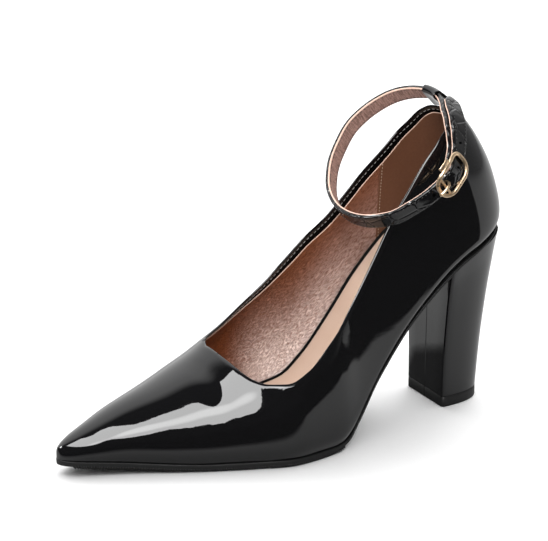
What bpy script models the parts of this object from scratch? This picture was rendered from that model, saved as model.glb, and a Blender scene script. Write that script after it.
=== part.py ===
"""Left-foot court shoe with a pointed toe, a block heel and a buckled ankle strap.

Sizes are millimetres. Along runs from the back of the heel to the toe, side runs to the
outer (little-toe) side and height runs up from the floor.
"""
import math

import bmesh
import bpy
from mathutils import Vector

MM = 0.001
OBJECT_NAME = "ankle_strap_court_shoe"

# Driving sizes
SHOE_LENGTH = 227.0
BALL_WIDTH = 76.0
HEEL_HEIGHT = 86.0
INSTEP_HEIGHT = 42.0
COLLAR_HEIGHT = 140.0
THROAT_ALONG = 146.0
WALL = 1.8
GAP = 0.3

# The back of the shoe is swept round this pivot and leans forward toward the collar.
PIVOT_ALONG = 29.0
BACK_REACH = 29.0
LEAN_REACH = 16.0
LEAN_RISE = 54.0
LEAN_CURVE = 1.5
LEAN_END_ALONG = 112.0

# The wall swells from its tucked-in lower edge to the belly, then closes toward the ridge.
BELLY_HEIGHT = 8.0
BELLY_SHARE = 0.4
BELLY_RISE = 0.16
TUCK = 2.6
TUCK_REACH = 16.0

# The outline of the last, a row per section. Shares are of the driving sizes.
OUTLINE_COLUMNS = ("from_toe", "spine", "outer", "inner", "ridge", "fullness")
OUTLINE_ROWS = (
    (0.000, -0.080, 0.000, 0.000, 0.27, 2.0),
    (0.026, -0.075, 0.090, 0.090, 0.43, 2.0),
    (0.070, -0.066, 0.145, 0.150, 0.55, 2.0),
    (0.140, -0.050, 0.225, 0.240, 0.69, 2.0),
    (0.215, -0.030, 0.315, 0.335, 0.83, 2.1),
    (0.295, -0.012, 0.405, 0.420, 1.01, 2.2),
    (0.355, 0.000, 0.465, 0.465, 1.14, 2.3),
    (0.435, 0.005, 0.535, 0.490, 1.44, 2.4),
    (0.535, 0.012, 0.492, 0.440, 1.97, 2.5),
    (0.600, 0.015, 0.415, 0.390, 2.38, 2.4),
    (0.660, 0.015, 0.362, 0.350, 2.74, 2.4),
    (0.740, 0.010, 0.337, 0.330, 3.20, 2.4),
    (0.810, 0.005, 0.340, 0.330, 3.58, 2.5),
    (1.000, 0.000, 0.350, 0.345, 3.95, 2.6),
)

# The underside of the sole and its thickness. Shares are of length and heel height.
SOLE_COLUMNS = ("along", "bottom", "thickness")
SOLE_ROWS = (
    (0.000, 1.000, 1.5),
    (0.050, 0.959, 1.5),
    (0.127, 0.872, 1.7),
    (0.190, 0.750, 2.0),
    (0.250, 0.605, 2.0),
    (0.300, 0.459, 2.0),
    (0.350, 0.297, 2.1),
    (0.400, 0.120, 2.4),
    (0.438, 0.024, 2.8),
    (0.471, 0.004, 3.2),
    (0.500, 0.000, 3.5),
    (0.730, 0.000, 3.5),
    (0.780, 0.006, 3.5),
    (0.840, 0.017, 3.5),
    (0.890, 0.029, 3.5),
    (1.000, 0.055, 3.3),
)
SOLE_EDGE = 0.5

# The padded insole: thickness and how much higher its inner edge is, along the foot.
INSOLE_COLUMNS = ("along", "thickness", "arch")
INSOLE_ROWS = (
    (0.00, 5.0, 2.0),
    (0.12, 6.0, 5.0),
    (0.22, 7.5, 8.5),
    (0.33, 7.5, 6.0),
    (0.42, 6.5, 4.0),
    (0.50, 4.5, 2.5),
    (0.62, 3.5, 1.0),
    (0.80, 3.0, 0.0),
    (1.00, 3.0, 0.0),
)
INSOLE_ROOM = 2.5
SLAB_MIN_REACH = 0.4

# The top edge as seen from the side. Shares are of length and collar height.
TOPLINE_COLUMNS = ("along", "outer", "inner")
TOPLINE_ROWS = (
    (0.105, 0.993, 0.993),
    (0.125, 1.000, 0.988),
    (0.145, 0.998, 0.963),
    (0.180, 0.980, 0.890),
    (0.228, 0.899, 0.816),
    (0.282, 0.784, 0.737),
    (0.356, 0.608, 0.635),
    (0.408, 0.482, 0.568),
    (0.450, 0.387, 0.500),
    (0.498, 0.322, 0.435),
    (0.541, 0.286, 0.385),
    (0.585, 0.268, 0.352),
    (0.620, 0.286, 0.336),
    (0.644, 0.338, 0.338),
)

# The block heel, a row per level. Rise is a share of the heel's own height.
HEEL_COLUMNS = ("rise", "half_width", "breast", "back")
HEEL_ROWS = (
    (0.00, 15.5, 36.4, 11.5),
    (0.30, 16.2, 36.2, 9.6),
    (0.60, 17.8, 36.0, 6.9),
    (0.85, 20.4, 36.4, 4.2),
    (1.00, 23.2, 37.0, 2.8),
)
HEEL_FULLNESS = 2.7
HEEL_SEAT_DEPTH = 14.0
LIFT_HEIGHT = 5.2

# The ankle strap lies near one sloping plane. Turns are degrees from the back, outer side first.
RING_CENTRE = Vector((0.0, 52.5, 127.0))
RING_PITCH = 0.80
RING_ROLL = 0.13
RING_COLUMNS = ("turn", "radius", "lift")
RING_ROWS = (
    (-180.0, 39.8, 0.0),
    (-160.0, 37.5, 0.0),
    (-140.0, 35.4, 0.0),
    (-115.0, 34.6, 0.0),
    (-90.0, 36.0, 0.0),
    (-60.0, 35.7, 0.0),
    (-30.0, 33.4, 0.0),
    (-10.0, 31.6, 0.3),
    (10.0, 29.8, 2.3),
    (27.0, 28.7, 3.8),
    (45.0, 29.4, 4.1),
    (60.0, 30.8, 3.1),
    (75.0, 33.3, 1.5),
    (90.0, 35.8, 0.5),
    (105.0, 36.6, 0.0),
    (120.0, 38.2, 0.0),
    (137.0, 41.5, 0.2),
    (150.0, 41.7, 0.0),
    (165.0, 41.0, 0.0),
    (180.0, 39.8, 0.0),
)
RING_RADIUS = 36.0
STRAP_WIDTH = 7.8
STRAP_THICKNESS = 2.2
STRAP_CORNER = 0.5
STRAP_START_TURN = 94.0
STRAP_END_TURN = -353.0
TIP_TURN = 9.0
TIP_ANGLE = 1.35
LAYER_RAMP_START = -208.0
LAYER_RAMP_END = -256.0
LAYER_STEP = STRAP_THICKNESS + 0.6

# The buckle and the loop at the back, and how the strap swells over the buckle's bar.
BUCKLE_TURN = 87.0
BUCKLE_LENGTH = 18.0
BUCKLE_CORNER = 4.5
WIRE_RADIUS = 0.95
BAR_RADIUS = 0.8
BAR_SWELL = 1.7
BAR_SWELL_TURN = 14.0
FRAME_ROOM = 0.8
FRAME_SAG = 0.5
PRONG_RADIUS = 0.7
PRONG_CURVE = 0.4
PRONG_TIP = 1.2
HOLE_RADIUS = 1.5
HOLE_AHEAD = 2.6
HOLE_DEPTH = 6.0
LOOP_TURN = -13.0
LOOP_WIDTH = 12.0
LOOP_WALL = 1.0
LOOP_ROOM = 0.4
LOOP_FOOT = 3.5

# How finely the curved surfaces are divided.
VAMP_STEPS = 14
THROAT_STEPS = 7
THROAT_DEPTH = 20.0
QUARTER_STEPS = 16
BACK_STEPS = 8
UPPER_ROWS = 12
CUT_HALVINGS = 40
SLAB_STEPS = 6
HEEL_STEPS = 20
HEEL_LEVELS = 8
STRAP_STEPS = 104
TIP_STEPS = 6
LOOP_STEPS = 6
WIRE_RESOLUTION = 2
HOLE_SIDES = 16
ARC_STEPS = 5


def slopes_of(keys, values):
    """Slopes that keep a curve through the values from overshooting."""
    steps = [(values[i + 1] - values[i]) / (keys[i + 1] - keys[i]) for i in range(len(keys) - 1)]
    slopes = [steps[0]]
    for before, after in zip(steps, steps[1:]):
        flat = before * after <= 0
        slopes.append(0.0 if flat else 2 * before * after / (before + after))
    return slopes + [steps[-1]]


def read_table(rows, columns, name, key, key_of=float):
    """Value of a named column at a key, along a smooth curve through the rows."""
    column = columns.index(name)
    keys = [key_of(row[0]) for row in rows]
    values = [row[column] for row in rows]
    slopes = slopes_of(keys, values)
    at = min(max(key_of(key), keys[0]), keys[-1])
    i = max(j for j in range(len(keys) - 1) if keys[j] <= at)
    span = keys[i + 1] - keys[i]
    t = (at - keys[i]) / span
    start = values[i] * (1 + 2 * t) * (1 - t) ** 2 + span * slopes[i] * t * (1 - t) ** 2
    return start + values[i + 1] * t * t * (3 - 2 * t) - span * slopes[i + 1] * t * t * (1 - t)


def outline(name, along):
    """A column of the last's outline; the square root rounds the toe."""
    share = max(0.0, (SHOE_LENGTH - along) / SHOE_LENGTH)
    return read_table(OUTLINE_ROWS, OUTLINE_COLUMNS, name, share, math.sqrt)


def sole_bottom(along):
    return HEEL_HEIGHT * read_table(SOLE_ROWS, SOLE_COLUMNS, "bottom", along / SHOE_LENGTH)


def sole_top(along):
    return sole_bottom(along) + read_table(SOLE_ROWS, SOLE_COLUMNS, "thickness", along / SHOE_LENGTH)


def topline(sign, along):
    name = "outer" if sign > 0 else "inner"
    return COLLAR_HEIGHT * read_table(TOPLINE_ROWS, TOPLINE_COLUMNS, name, along / SHOE_LENGTH)


def half_width(along, swing, sign):
    """Reach of the last from its spine; swing turns the section from side to back."""
    reach = BALL_WIDTH * outline("outer" if sign > 0 else "inner", along)
    if reach <= 0.0:
        return 0.0
    across = math.cos(math.radians(swing)) / reach
    behind = math.sin(math.radians(swing)) / BACK_REACH
    return 1.0 / math.hypot(across, behind)


def foot_point(along, swing, sign, reach):
    """Plan place of a reach from the spine, as along and side."""
    turn = math.radians(swing)
    spine = BALL_WIDTH * outline("spine", along)
    return along - reach * math.sin(turn), spine + sign * reach * math.cos(turn)


def feather_reach(along, swing, sign):
    """Reach of the wall's lower edge, tucked in under the last."""
    reach = half_width(along, swing, sign)
    return reach - TUCK * min(1.0, reach / TUCK_REACH)


def wall_point(along, swing, sign, rise):
    """A point of the last's outside: rise 0 is the lower edge, rise 1 the ridge."""
    reach = half_width(along, swing, sign)
    low = feather_reach(along, swing, sign)
    power = 2.0 / outline("fullness", along)
    ridge = INSTEP_HEIGHT * outline("ridge", along)
    base = sole_top(foot_point(along, swing, sign, low)[0]) + GAP
    belly = min(BELLY_HEIGHT, BELLY_SHARE * (ridge - base))
    if rise < BELLY_RISE:
        share = rise / BELLY_RISE
        reach -= (reach - low) * (1 - share) ** 2
        lift = belly * share
    else:
        turn = (rise - BELLY_RISE) / (1 - BELLY_RISE) * math.pi / 2
        reach *= max(0.0, math.cos(turn)) ** power
        lift = belly + (ridge - base - belly) * math.sin(turn) ** power
    place, side = foot_point(along, swing, sign, reach)
    back = min(1.0, max(0.0, (LEAN_END_ALONG - along) / (LEAN_END_ALONG - PIVOT_ALONG)))
    lean = LEAN_REACH * back * (lift / LEAN_RISE) ** LEAN_CURVE
    return Vector((side, place + lean, base + lift))


def top_rise(along, swing, sign):
    """Rise at which the wall meets the top edge; 1 ahead of the throat."""
    low, high = 0.0, 1.0
    if along >= THROAT_ALONG:
        return high
    for _ in range(CUT_HALVINGS):
        middle = (low + high) / 2
        point = wall_point(along, swing, sign, middle)
        if point.z < topline(sign, point.y):
            low = middle
        else:
            high = middle
    return high


def stations():
    """Sections from the toe to the back, closer together at the toe and the throat."""
    vamp = SHOE_LENGTH - THROAT_ALONG
    places = [SHOE_LENGTH - vamp * (i / VAMP_STEPS) ** 2 for i in range(VAMP_STEPS + 1)]
    places += [THROAT_ALONG - THROAT_DEPTH * (i / THROAT_STEPS) ** 2 for i in range(1, THROAT_STEPS + 1)]
    end = places[-1]
    places += [end + (PIVOT_ALONG - end) * i / QUARTER_STEPS for i in range(1, QUARTER_STEPS + 1)]
    straight = [(place, 0.0) for place in places]
    return straight + [(PIVOT_ALONG, 90.0 * i / BACK_STEPS) for i in range(1, BACK_STEPS + 1)]


def to_world(point):
    """Side, along and height in millimetres to metres, the toe toward -Y."""
    return Vector((point[0], -point[1], point[2])) * MM


def add_object(name, points, faces, material, collection):
    mesh = bpy.data.meshes.new(name)
    mesh.from_pydata([to_world(point) for point in points], [], faces)
    mesh.validate()
    mesh.materials.append(material)
    part = bpy.data.objects.new(name, mesh)
    collection.objects.link(part)
    return part


def add_material(name, colour, roughness, metallic=0.0):
    material = bpy.data.materials.new(name)
    material.use_nodes = True
    shader = material.node_tree.nodes["Principled BSDF"]
    shader.inputs["Base Color"].default_value = (*colour, 1.0)
    shader.inputs["Roughness"].default_value = roughness
    shader.inputs["Metallic"].default_value = metallic
    return material


def loft(rings, closed=False):
    """Points and outward faces of a solid through rings of equal length."""
    count = len(rings[0])
    points = [point for ring in rings for point in ring]
    faces = []
    pairs = len(rings) if closed else len(rings) - 1
    for i in range(pairs):
        start, end = i * count, (i + 1) % len(rings) * count
        for j in range(count):
            k = (j + 1) % count
            faces.append((start + j, start + k, end + k, end + j))
    if not closed:
        faces.append(tuple(reversed(range(count))))
        faces.append(tuple(range(len(points) - count, len(points))))
    return points, faces


def make_upper(material, collection):
    """Hollow vamp and quarters in one: an open sheet on the last, thickened inward."""
    points, index, faces = [], {}, []

    def vertex(point):
        key = tuple(round(value, 3) for value in point)
        if key not in index:
            index[key] = len(points)
            points.append(point)
        return index[key]

    for sign in (1, -1):
        columns = []
        for along, swing in stations():
            top = top_rise(along, swing, sign)
            rises = [top * (i / UPPER_ROWS) for i in range(UPPER_ROWS + 1)]
            columns.append([vertex(wall_point(along, swing, sign, rise)) for rise in rises])
        for front, back in zip(columns, columns[1:]):
            for row in range(UPPER_ROWS):
                face = [front[row], back[row], back[row + 1], front[row + 1]]
                face = face if sign > 0 else face[::-1]
                if len(set(face)) >= 3:
                    faces.append(list(dict.fromkeys(face)))
    upper = add_object("upper", points, faces, material, collection)
    shell = upper.modifiers.new("wall", "SOLIDIFY")
    shell.thickness = WALL * MM
    shell.offset = -1.0
    shell.use_even_offset = True
    return upper


def slab_rings(spread, low, high, ends):
    """Rings across the foot for a layer that follows the sole, toe to back."""
    rings = []
    for along, swing in stations()[ends:-ends]:
        sides = []
        for sign in (1, -1):
            reach = max(SLAB_MIN_REACH, feather_reach(along, swing, sign) + spread)
            sides.append(foot_point(along, swing, sign, reach))
        outer, inner = sides
        under, over = [], []
        for i in range(SLAB_STEPS + 1):
            share = i / SLAB_STEPS
            place = outer[0] + (inner[0] - outer[0]) * share
            side = outer[1] + (inner[1] - outer[1]) * share
            under.append(Vector((side, place, low(place, share))))
            over.insert(0, Vector((side, place, high(place, share))))
        rings.append(under + over)
    return rings


def make_outsole(material, collection):
    """Thin full-length sole, thickest under the forefoot and flat on the floor there."""
    def low(along, share):
        return sole_bottom(along)

    def high(along, share):
        return sole_top(along)

    rings = slab_rings(SOLE_EDGE, low, high, 1)
    return add_object("outsole", *loft(rings), material, collection)


def make_insole(material, collection):
    """Padded insole on the sole, raised at the inner arch and just clear of the wall all round."""
    def low(along, share):
        return sole_top(along) + GAP

    def high(along, share):
        thickness, arch = (read_table(INSOLE_ROWS, INSOLE_COLUMNS, name, along / SHOE_LENGTH)
                           for name in INSOLE_COLUMNS[1:])
        return low(along, share) + thickness + arch * share ** 2

    rings = slab_rings(-INSOLE_ROOM, low, high, 3)
    return add_object("insole", *loft(rings), material, collection)


def heel_outline(rise):
    """D-shaped ring of a heel level, as side and along, from the breast round the back."""
    half, breast, back = (read_table(HEEL_ROWS, HEEL_COLUMNS, name, rise) for name in HEEL_COLUMNS[1:])
    ring = []
    for i in range(HEEL_STEPS + 1):
        turn = math.pi * i / HEEL_STEPS
        side = math.copysign(abs(math.cos(turn)) ** (2 / HEEL_FULLNESS), math.cos(turn))
        place = breast - (breast - back) * math.sin(turn) ** (2 / HEEL_FULLNESS)
        ring.append((half * side, place))
    return ring + [(half * share, breast) for share in (-0.5, 0.0, 0.5)]


def make_heel(material, collection):
    """Covered block heel, its top shaped to the underside of the sole."""
    foot = LIFT_HEIGHT + GAP
    rings = []
    for i in range(HEEL_LEVELS + 1):
        rise = i / HEEL_LEVELS
        ring = []
        for side, place in heel_outline(rise):
            top = sole_bottom(place) - GAP
            ring.append(Vector((side, place, foot + (top - foot) * rise)))
        rings.append(ring)
    points, faces = loft(rings)
    centre = len(points)
    top = [centre - len(rings[0]) + i for i in range(len(rings[0]))]
    middle = read_table(HEEL_ROWS, HEEL_COLUMNS, "breast", 1.0) - HEEL_SEAT_DEPTH
    points.append(Vector((0.0, middle, sole_bottom(middle) - GAP)))
    faces.pop()
    faces += [(a, b, centre) for a, b in zip(top, top[1:] + top[:1])]
    return add_object("heel", points, faces, material, collection)


def make_top_lift(material, collection):
    """Rubber top piece that the heel stands on."""
    rings = [[Vector((side, place, height)) for side, place in heel_outline(0.0)]
             for height in (0.0, LIFT_HEIGHT)]
    return add_object("top_lift", *loft(rings), material, collection)


RING_NORMAL = Vector((RING_ROLL, RING_PITCH, 1.0)).normalized()
RING_ACROSS = (Vector((1.0, 0.0, 0.0)) - RING_NORMAL * RING_NORMAL.x).normalized()
RING_DOWN = RING_NORMAL.cross(RING_ACROSS)


def ring_point(turn, radial, across):
    """A place beside the strap's middle line: outward from it and across its width."""
    angle = math.radians(turn)
    radius, lift = (read_table(RING_ROWS, RING_COLUMNS, name, (turn + 180.0) % 360.0 - 180.0)
                    for name in RING_COLUMNS[1:])
    radius += radial
    down = -radius * math.cos(angle)
    wide = radius * math.sin(angle)
    return RING_CENTRE + RING_DOWN * down + RING_ACROSS * wide + RING_NORMAL * (across + lift)


def smooth_step(value):
    t = min(1.0, max(0.0, value))
    return t * t * (3 - 2 * t)


def strap_layer(turn):
    """How far the strap lies outside its first layer, with a swell over the buckle's bar."""
    step = LAYER_STEP * smooth_step((LAYER_RAMP_START - turn) / (LAYER_RAMP_START - LAYER_RAMP_END))
    off = (turn - (BUCKLE_TURN - 360.0)) / BAR_SWELL_TURN
    return step + BAR_SWELL * smooth_step(1 - abs(off))


def strap_stations():
    """Turns and width shares from the buckled end to the rounded free end."""
    last = STRAP_END_TURN + TIP_TURN
    step = (last - STRAP_START_TURN) / STRAP_STEPS
    body = [(STRAP_START_TURN + step * i, 1.0) for i in range(STRAP_STEPS + 1)]
    tip = []
    for i in range(1, TIP_STEPS + 1):
        angle = TIP_ANGLE * i / TIP_STEPS
        tip.append((last - TIP_TURN * math.sin(angle), math.cos(angle)))
    return body + tip


def make_ankle_strap(material, collection, cutter):
    """One strap from the buckle, round the ankle and on through the buckle to its free end."""
    half, thick, corner = STRAP_WIDTH / 2, STRAP_THICKNESS / 2, STRAP_CORNER
    section = ((thick, corner - half), (thick, half - corner),
               (thick - corner, half), (corner - thick, half),
               (-thick, half - corner), (-thick, corner - half),
               (corner - thick, -half), (thick - corner, -half))
    rings = []
    for turn, share in strap_stations():
        layer = strap_layer(turn)
        rings.append([ring_point(turn, layer + out, across * share) for out, across in section])
    strap = add_object("ankle_strap", *loft(rings), material, collection)
    hole = strap.modifiers.new("prong hole", "BOOLEAN")
    hole.operation = "DIFFERENCE"
    hole.solver = "EXACT"
    hole.object = cutter
    return strap


def make_back_loop(material, collection):
    """Closed loop of upper leather at the top of the back, which the strap slides through."""
    wide = STRAP_WIDTH / 2 + LOOP_ROOM
    thick = STRAP_THICKNESS / 2 + LOOP_ROOM
    path = rounded_box(2 * thick, 2 * wide, LOOP_ROOM)
    outer = rounded_box(2 * (thick + LOOP_WALL), 2 * (wide + LOOP_WALL), LOOP_ROOM + LOOP_WALL)
    outer = [(out, across if across > 0 else across - LOOP_FOOT) for out, across in outer]
    spread = math.degrees(LOOP_WIDTH / 2 / RING_RADIUS)
    turns = [LOOP_TURN + spread * (2 * i / LOOP_STEPS - 1) for i in range(LOOP_STEPS + 1)]
    rings = []
    for (inside, low), (outside, high) in zip(path, outer):
        rings.append([ring_point(turn, inside, low) for turn in turns]
                     + [ring_point(turn, outside, high) for turn in reversed(turns)])
    return add_object("back_loop", *loft(rings, closed=True), material, collection)


def rounded_box(length, width, corner):
    """Points round a rectangle with rounded corners, about its centre."""
    points = []
    for i, (x, y) in enumerate(((1, 1), (-1, 1), (-1, -1), (1, -1))):
        for j in range(ARC_STEPS + 1):
            angle = math.pi / 2 * (i + j / ARC_STEPS)
            points.append((x * (length / 2 - corner) + corner * math.cos(angle),
                           y * (width / 2 - corner) + corner * math.sin(angle)))
    return points


def add_wire(name, path, radius, material, collection, closed=False):
    """Round wire along a path of points."""
    curve = bpy.data.curves.new(name, "CURVE")
    curve.dimensions = "3D"
    curve.bevel_depth = radius * MM
    curve.bevel_resolution = WIRE_RESOLUTION
    curve.use_fill_caps = True
    spline = curve.splines.new("POLY")
    spline.points.add(len(path) - 1)
    for target, point in zip(spline.points, path):
        target.co = (*to_world(point), 1.0)
    spline.use_cyclic_u = closed
    curve.materials.append(material)
    wire = bpy.data.objects.new(name, curve)
    collection.objects.link(wire)
    return wire


def buckle_place(ahead, out, across):
    """A place on the buckle: ahead of its bar toward the front, out from the strap, across it."""
    turn = BUCKLE_TURN + math.degrees(ahead / RING_RADIUS)
    return ring_point(turn, out, across)


FRAME_OUT = LAYER_STEP + STRAP_THICKNESS / 2 + GAP + WIRE_RADIUS
FRAME_HALF = STRAP_WIDTH / 2 + FRAME_ROOM + WIRE_RADIUS
BAR_OUT = LAYER_STEP + BAR_SWELL - STRAP_THICKNESS / 2 - GAP - BAR_RADIUS


def make_buckle_frame(material, collection):
    """Wire frame that lies over the strap."""
    path = [buckle_place(ahead, FRAME_OUT, across)
            for ahead, across in rounded_box(BUCKLE_LENGTH, 2 * FRAME_HALF, BUCKLE_CORNER)]
    return add_wire("buckle_frame", path, WIRE_RADIUS, material, collection, closed=True)


def make_buckle_bar(material, collection):
    """Centre bar under the strap, its ends bent up to the frame."""
    top = FRAME_OUT - FRAME_SAG - WIRE_RADIUS - GAP
    corners = ((top, -FRAME_HALF), (BAR_OUT, -FRAME_HALF), (BAR_OUT, FRAME_HALF), (top, FRAME_HALF))
    path = [buckle_place(0.0, out, across) for out, across in corners]
    return add_wire("buckle_bar", path, BAR_RADIUS, material, collection)


def make_buckle_prong(material, collection):
    """Prong from the bar, through a hole in the strap, to rest on the front of the frame."""
    strap_face = LAYER_STEP + BAR_SWELL + STRAP_THICKNESS / 2
    rest = FRAME_OUT + WIRE_RADIUS + GAP + PRONG_RADIUS
    front = BUCKLE_LENGTH / 2
    path = [buckle_place(HOLE_AHEAD - PRONG_CURVE, BAR_OUT + PRONG_CURVE, 0.0),
            buckle_place(HOLE_AHEAD, strap_face - PRONG_CURVE, 0.0),
            buckle_place(HOLE_AHEAD + 2 * PRONG_RADIUS, strap_face + GAP + PRONG_RADIUS, 0.0),
            buckle_place(front - PRONG_TIP, rest, 0.0),
            buckle_place(front + PRONG_TIP, rest, 0.0)]
    return add_wire("buckle_prong", path, PRONG_RADIUS, material, collection)


def make_hole_cutter(collection):
    """Round cutter for the strap hole that the prong stands in."""
    shape = bmesh.new()
    bmesh.ops.create_cone(shape, cap_ends=True, segments=HOLE_SIDES, radius1=HOLE_RADIUS * MM,
                          radius2=HOLE_RADIUS * MM, depth=HOLE_DEPTH * MM)
    mesh = bpy.data.meshes.new("hole_cutter")
    shape.to_mesh(mesh)
    shape.free()
    cutter = bpy.data.objects.new("hole_cutter", mesh)
    inner = (STRAP_THICKNESS + LAYER_STEP) / 2
    low, high = (to_world(buckle_place(HOLE_AHEAD, out, 0.0)) for out in (inner, inner + HOLE_DEPTH))
    cutter.location = (low + high) / 2
    cutter.rotation_euler = (high - low).to_track_quat("Z", "Y").to_euler()
    cutter.display_type = "WIRE"
    cutter.hide_render = True
    collection.objects.link(cutter)
    return cutter


def centre_on_floor(parts):
    """Move everything so that the middle of the whole stands at the origin."""
    graph = bpy.context.evaluated_depsgraph_get()
    points = []
    for part in parts:
        points += [vertex.co.copy() for vertex in part.evaluated_get(graph).to_mesh().vertices]
    middle = Vector(((min(p.x for p in points) + max(p.x for p in points)) / 2,
                     (min(p.y for p in points) + max(p.y for p in points)) / 2, 0.0))
    for item in bpy.data.objects:
        item.location -= middle


def build():
    for item in list(bpy.data.objects):
        bpy.data.objects.remove(item)
    shoe = bpy.data.collections.new(OBJECT_NAME)
    cutters = bpy.data.collections.new("cutters")
    for collection in (shoe, cutters):
        bpy.context.scene.collection.children.link(collection)
    patent = add_material("black patent leather", (0.006, 0.006, 0.007), 0.08)
    rubber = add_material("black sole rubber", (0.012, 0.012, 0.012), 0.6)
    lining = add_material("beige insole leather", (0.72, 0.50, 0.36), 0.6)
    gold = add_material("pale gold metal", (0.83, 0.62, 0.30), 0.2, 1.0)
    centre_on_floor([
        make_upper(patent, shoe),
        make_outsole(rubber, shoe),
        make_insole(lining, shoe),
        make_heel(patent, shoe),
        make_top_lift(rubber, shoe),
        make_ankle_strap(patent, shoe, make_hole_cutter(cutters)),
        make_back_loop(patent, shoe),
        make_buckle_frame(gold, shoe),
        make_buckle_bar(gold, shoe),
        make_buckle_prong(gold, shoe),
    ])


build()
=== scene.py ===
"""Left-foot court shoe in black patent leather with a block heel and a buckled ankle strap.

Pieces are drawn in millimetres as side, along and height, as on a maker's last: side to the
outer (little-toe) side, along from the back of the heel to the toe, height from the floor.
"""
import bisect
import math

import bmesh
import bpy
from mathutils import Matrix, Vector
from mathutils.kdtree import KDTree


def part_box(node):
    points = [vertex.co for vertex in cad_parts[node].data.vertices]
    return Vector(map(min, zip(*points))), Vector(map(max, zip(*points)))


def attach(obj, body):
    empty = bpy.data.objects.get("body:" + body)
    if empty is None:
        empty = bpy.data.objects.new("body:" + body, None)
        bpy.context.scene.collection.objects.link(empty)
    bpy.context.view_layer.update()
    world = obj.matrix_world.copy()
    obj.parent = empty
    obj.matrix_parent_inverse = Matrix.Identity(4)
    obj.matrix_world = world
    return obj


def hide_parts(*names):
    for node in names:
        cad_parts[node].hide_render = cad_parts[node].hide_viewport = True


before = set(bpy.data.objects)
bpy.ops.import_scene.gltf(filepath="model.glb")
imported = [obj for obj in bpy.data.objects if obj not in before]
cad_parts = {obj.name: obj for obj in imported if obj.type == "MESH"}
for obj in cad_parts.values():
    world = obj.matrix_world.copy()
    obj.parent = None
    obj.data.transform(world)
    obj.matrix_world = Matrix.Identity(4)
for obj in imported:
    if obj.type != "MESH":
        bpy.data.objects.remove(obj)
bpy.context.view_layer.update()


# Outsole: a thin sheet of black sole rubber, cut to the last's outline and stuck under the upper.
# It lies flat under the forefoot, springs up at the toe and climbs the arch to the heel seat.
MM = 0.001
SHOE_LENGTH = 227.0
BALL_WIDTH = 76.0
HEEL_HEIGHT = 86.0
PIVOT_ALONG = 29.0
BACK_REACH = 29.0
TUCK = 2.6
TUCK_REACH = 16.0
SOLE_EDGE = 0.5
SOLE_ROUND = 0.45
TREAD_DEPTH = 0.8
TREAD_START_ALONG = 94.0
TREAD_FADE = 8.0
SOLE_STATIONS = (40, 60, 14)
SOLE_LEAST_REACH = 0.4
SOLE_UNDERCUT = 0.25
RUBBER_TIP = 0.3
VAMP_SPAN = 80.0
MERGE_DISTANCE = 1e-6
OUTLINE_COLUMNS = ("from_toe", "spine", "outer", "inner", "ridge", "fullness")
OUTLINE_ROWS = (
    (0.000, -0.080, 0.000, 0.000, 0.27, 2.0),
    (0.026, -0.075, 0.090, 0.090, 0.40, 2.0),
    (0.070, -0.066, 0.145, 0.150, 0.515, 2.0),
    (0.140, -0.050, 0.225, 0.240, 0.685, 2.0),
    (0.215, -0.030, 0.315, 0.335, 0.83, 2.1),
    (0.295, -0.012, 0.405, 0.420, 1.01, 2.2),
    (0.355, 0.000, 0.465, 0.465, 1.14, 2.3),
    (0.435, 0.005, 0.535, 0.490, 1.44, 2.4),
    (0.535, 0.012, 0.492, 0.440, 1.97, 2.5),
    (0.600, 0.015, 0.415, 0.390, 2.38, 2.4),
    (0.660, 0.015, 0.362, 0.350, 2.74, 2.4),
    (0.740, 0.010, 0.337, 0.330, 3.20, 2.4),
    (0.810, 0.005, 0.340, 0.330, 3.58, 2.5),
    (1.000, 0.000, 0.350, 0.345, 3.95, 2.6),
)
SOLE_ROWS = (
    (0.000, 1.000, 1.5),
    (0.050, 0.959, 1.5),
    (0.127, 0.872, 1.7),
    (0.190, 0.750, 2.0),
    (0.250, 0.605, 2.0),
    (0.300, 0.459, 2.0),
    (0.350, 0.297, 2.1),
    (0.400, 0.120, 2.4),
    (0.438, 0.024, 2.8),
    (0.471, 0.004, 3.2),
    (0.500, 0.000, 3.5),
    (0.730, 0.000, 3.5),
    (0.780, 0.006, 3.5),
    (0.840, 0.017, 3.5),
    (0.890, 0.029, 3.5),
    (1.000, 0.055, 3.3),
)
LIFT_LOW, LIFT_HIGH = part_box("top_lift")
MIDDLE = Vector(((LIFT_LOW[0] + LIFT_HIGH[0]) / 2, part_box("upper")[0][1] + SHOE_LENGTH * MM, 0.0))


def curve_through(rows, column, key_of=float):
    """A smooth curve through one column of a table, which doesn't overshoot its rows."""
    keys = [key_of(row[0]) for row in rows]
    values = [row[column] for row in rows]
    steps = [(values[i + 1] - values[i]) / (keys[i + 1] - keys[i]) for i in range(len(keys) - 1)]
    slopes = [steps[0]]
    for before, after in zip(steps, steps[1:]):
        slopes.append(0.0 if before * after <= 0 else 2 * before * after / (before + after))
    slopes.append(steps[-1])

    def read(key):
        at = min(max(key_of(key), keys[0]), keys[-1])
        i = min(bisect.bisect_right(keys, at), len(keys) - 1) - 1
        span = keys[i + 1] - keys[i]
        t = (at - keys[i]) / span
        start = values[i] * (1 + 2 * t) * (1 - t) ** 2 + span * slopes[i] * t * (1 - t) ** 2
        return start + values[i + 1] * t * t * (3 - 2 * t) - span * slopes[i + 1] * t * t * (1 - t)

    return read


OUTLINE = {name: curve_through(OUTLINE_ROWS, column, math.sqrt)
           for column, name in enumerate(OUTLINE_COLUMNS)}
SOLE_BOTTOM = curve_through(SOLE_ROWS, 1)
SOLE_THICKNESS = curve_through(SOLE_ROWS, 2)


def smooth_step(value):
    t = min(1.0, max(0.0, value))
    return t * t * (3 - 2 * t)


def to_world(point):
    """Side, along and height in millimetres to metres in the frame, the toe toward -Y."""
    return MIDDLE + Vector((point[0], -point[1], point[2])) * MM


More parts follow.
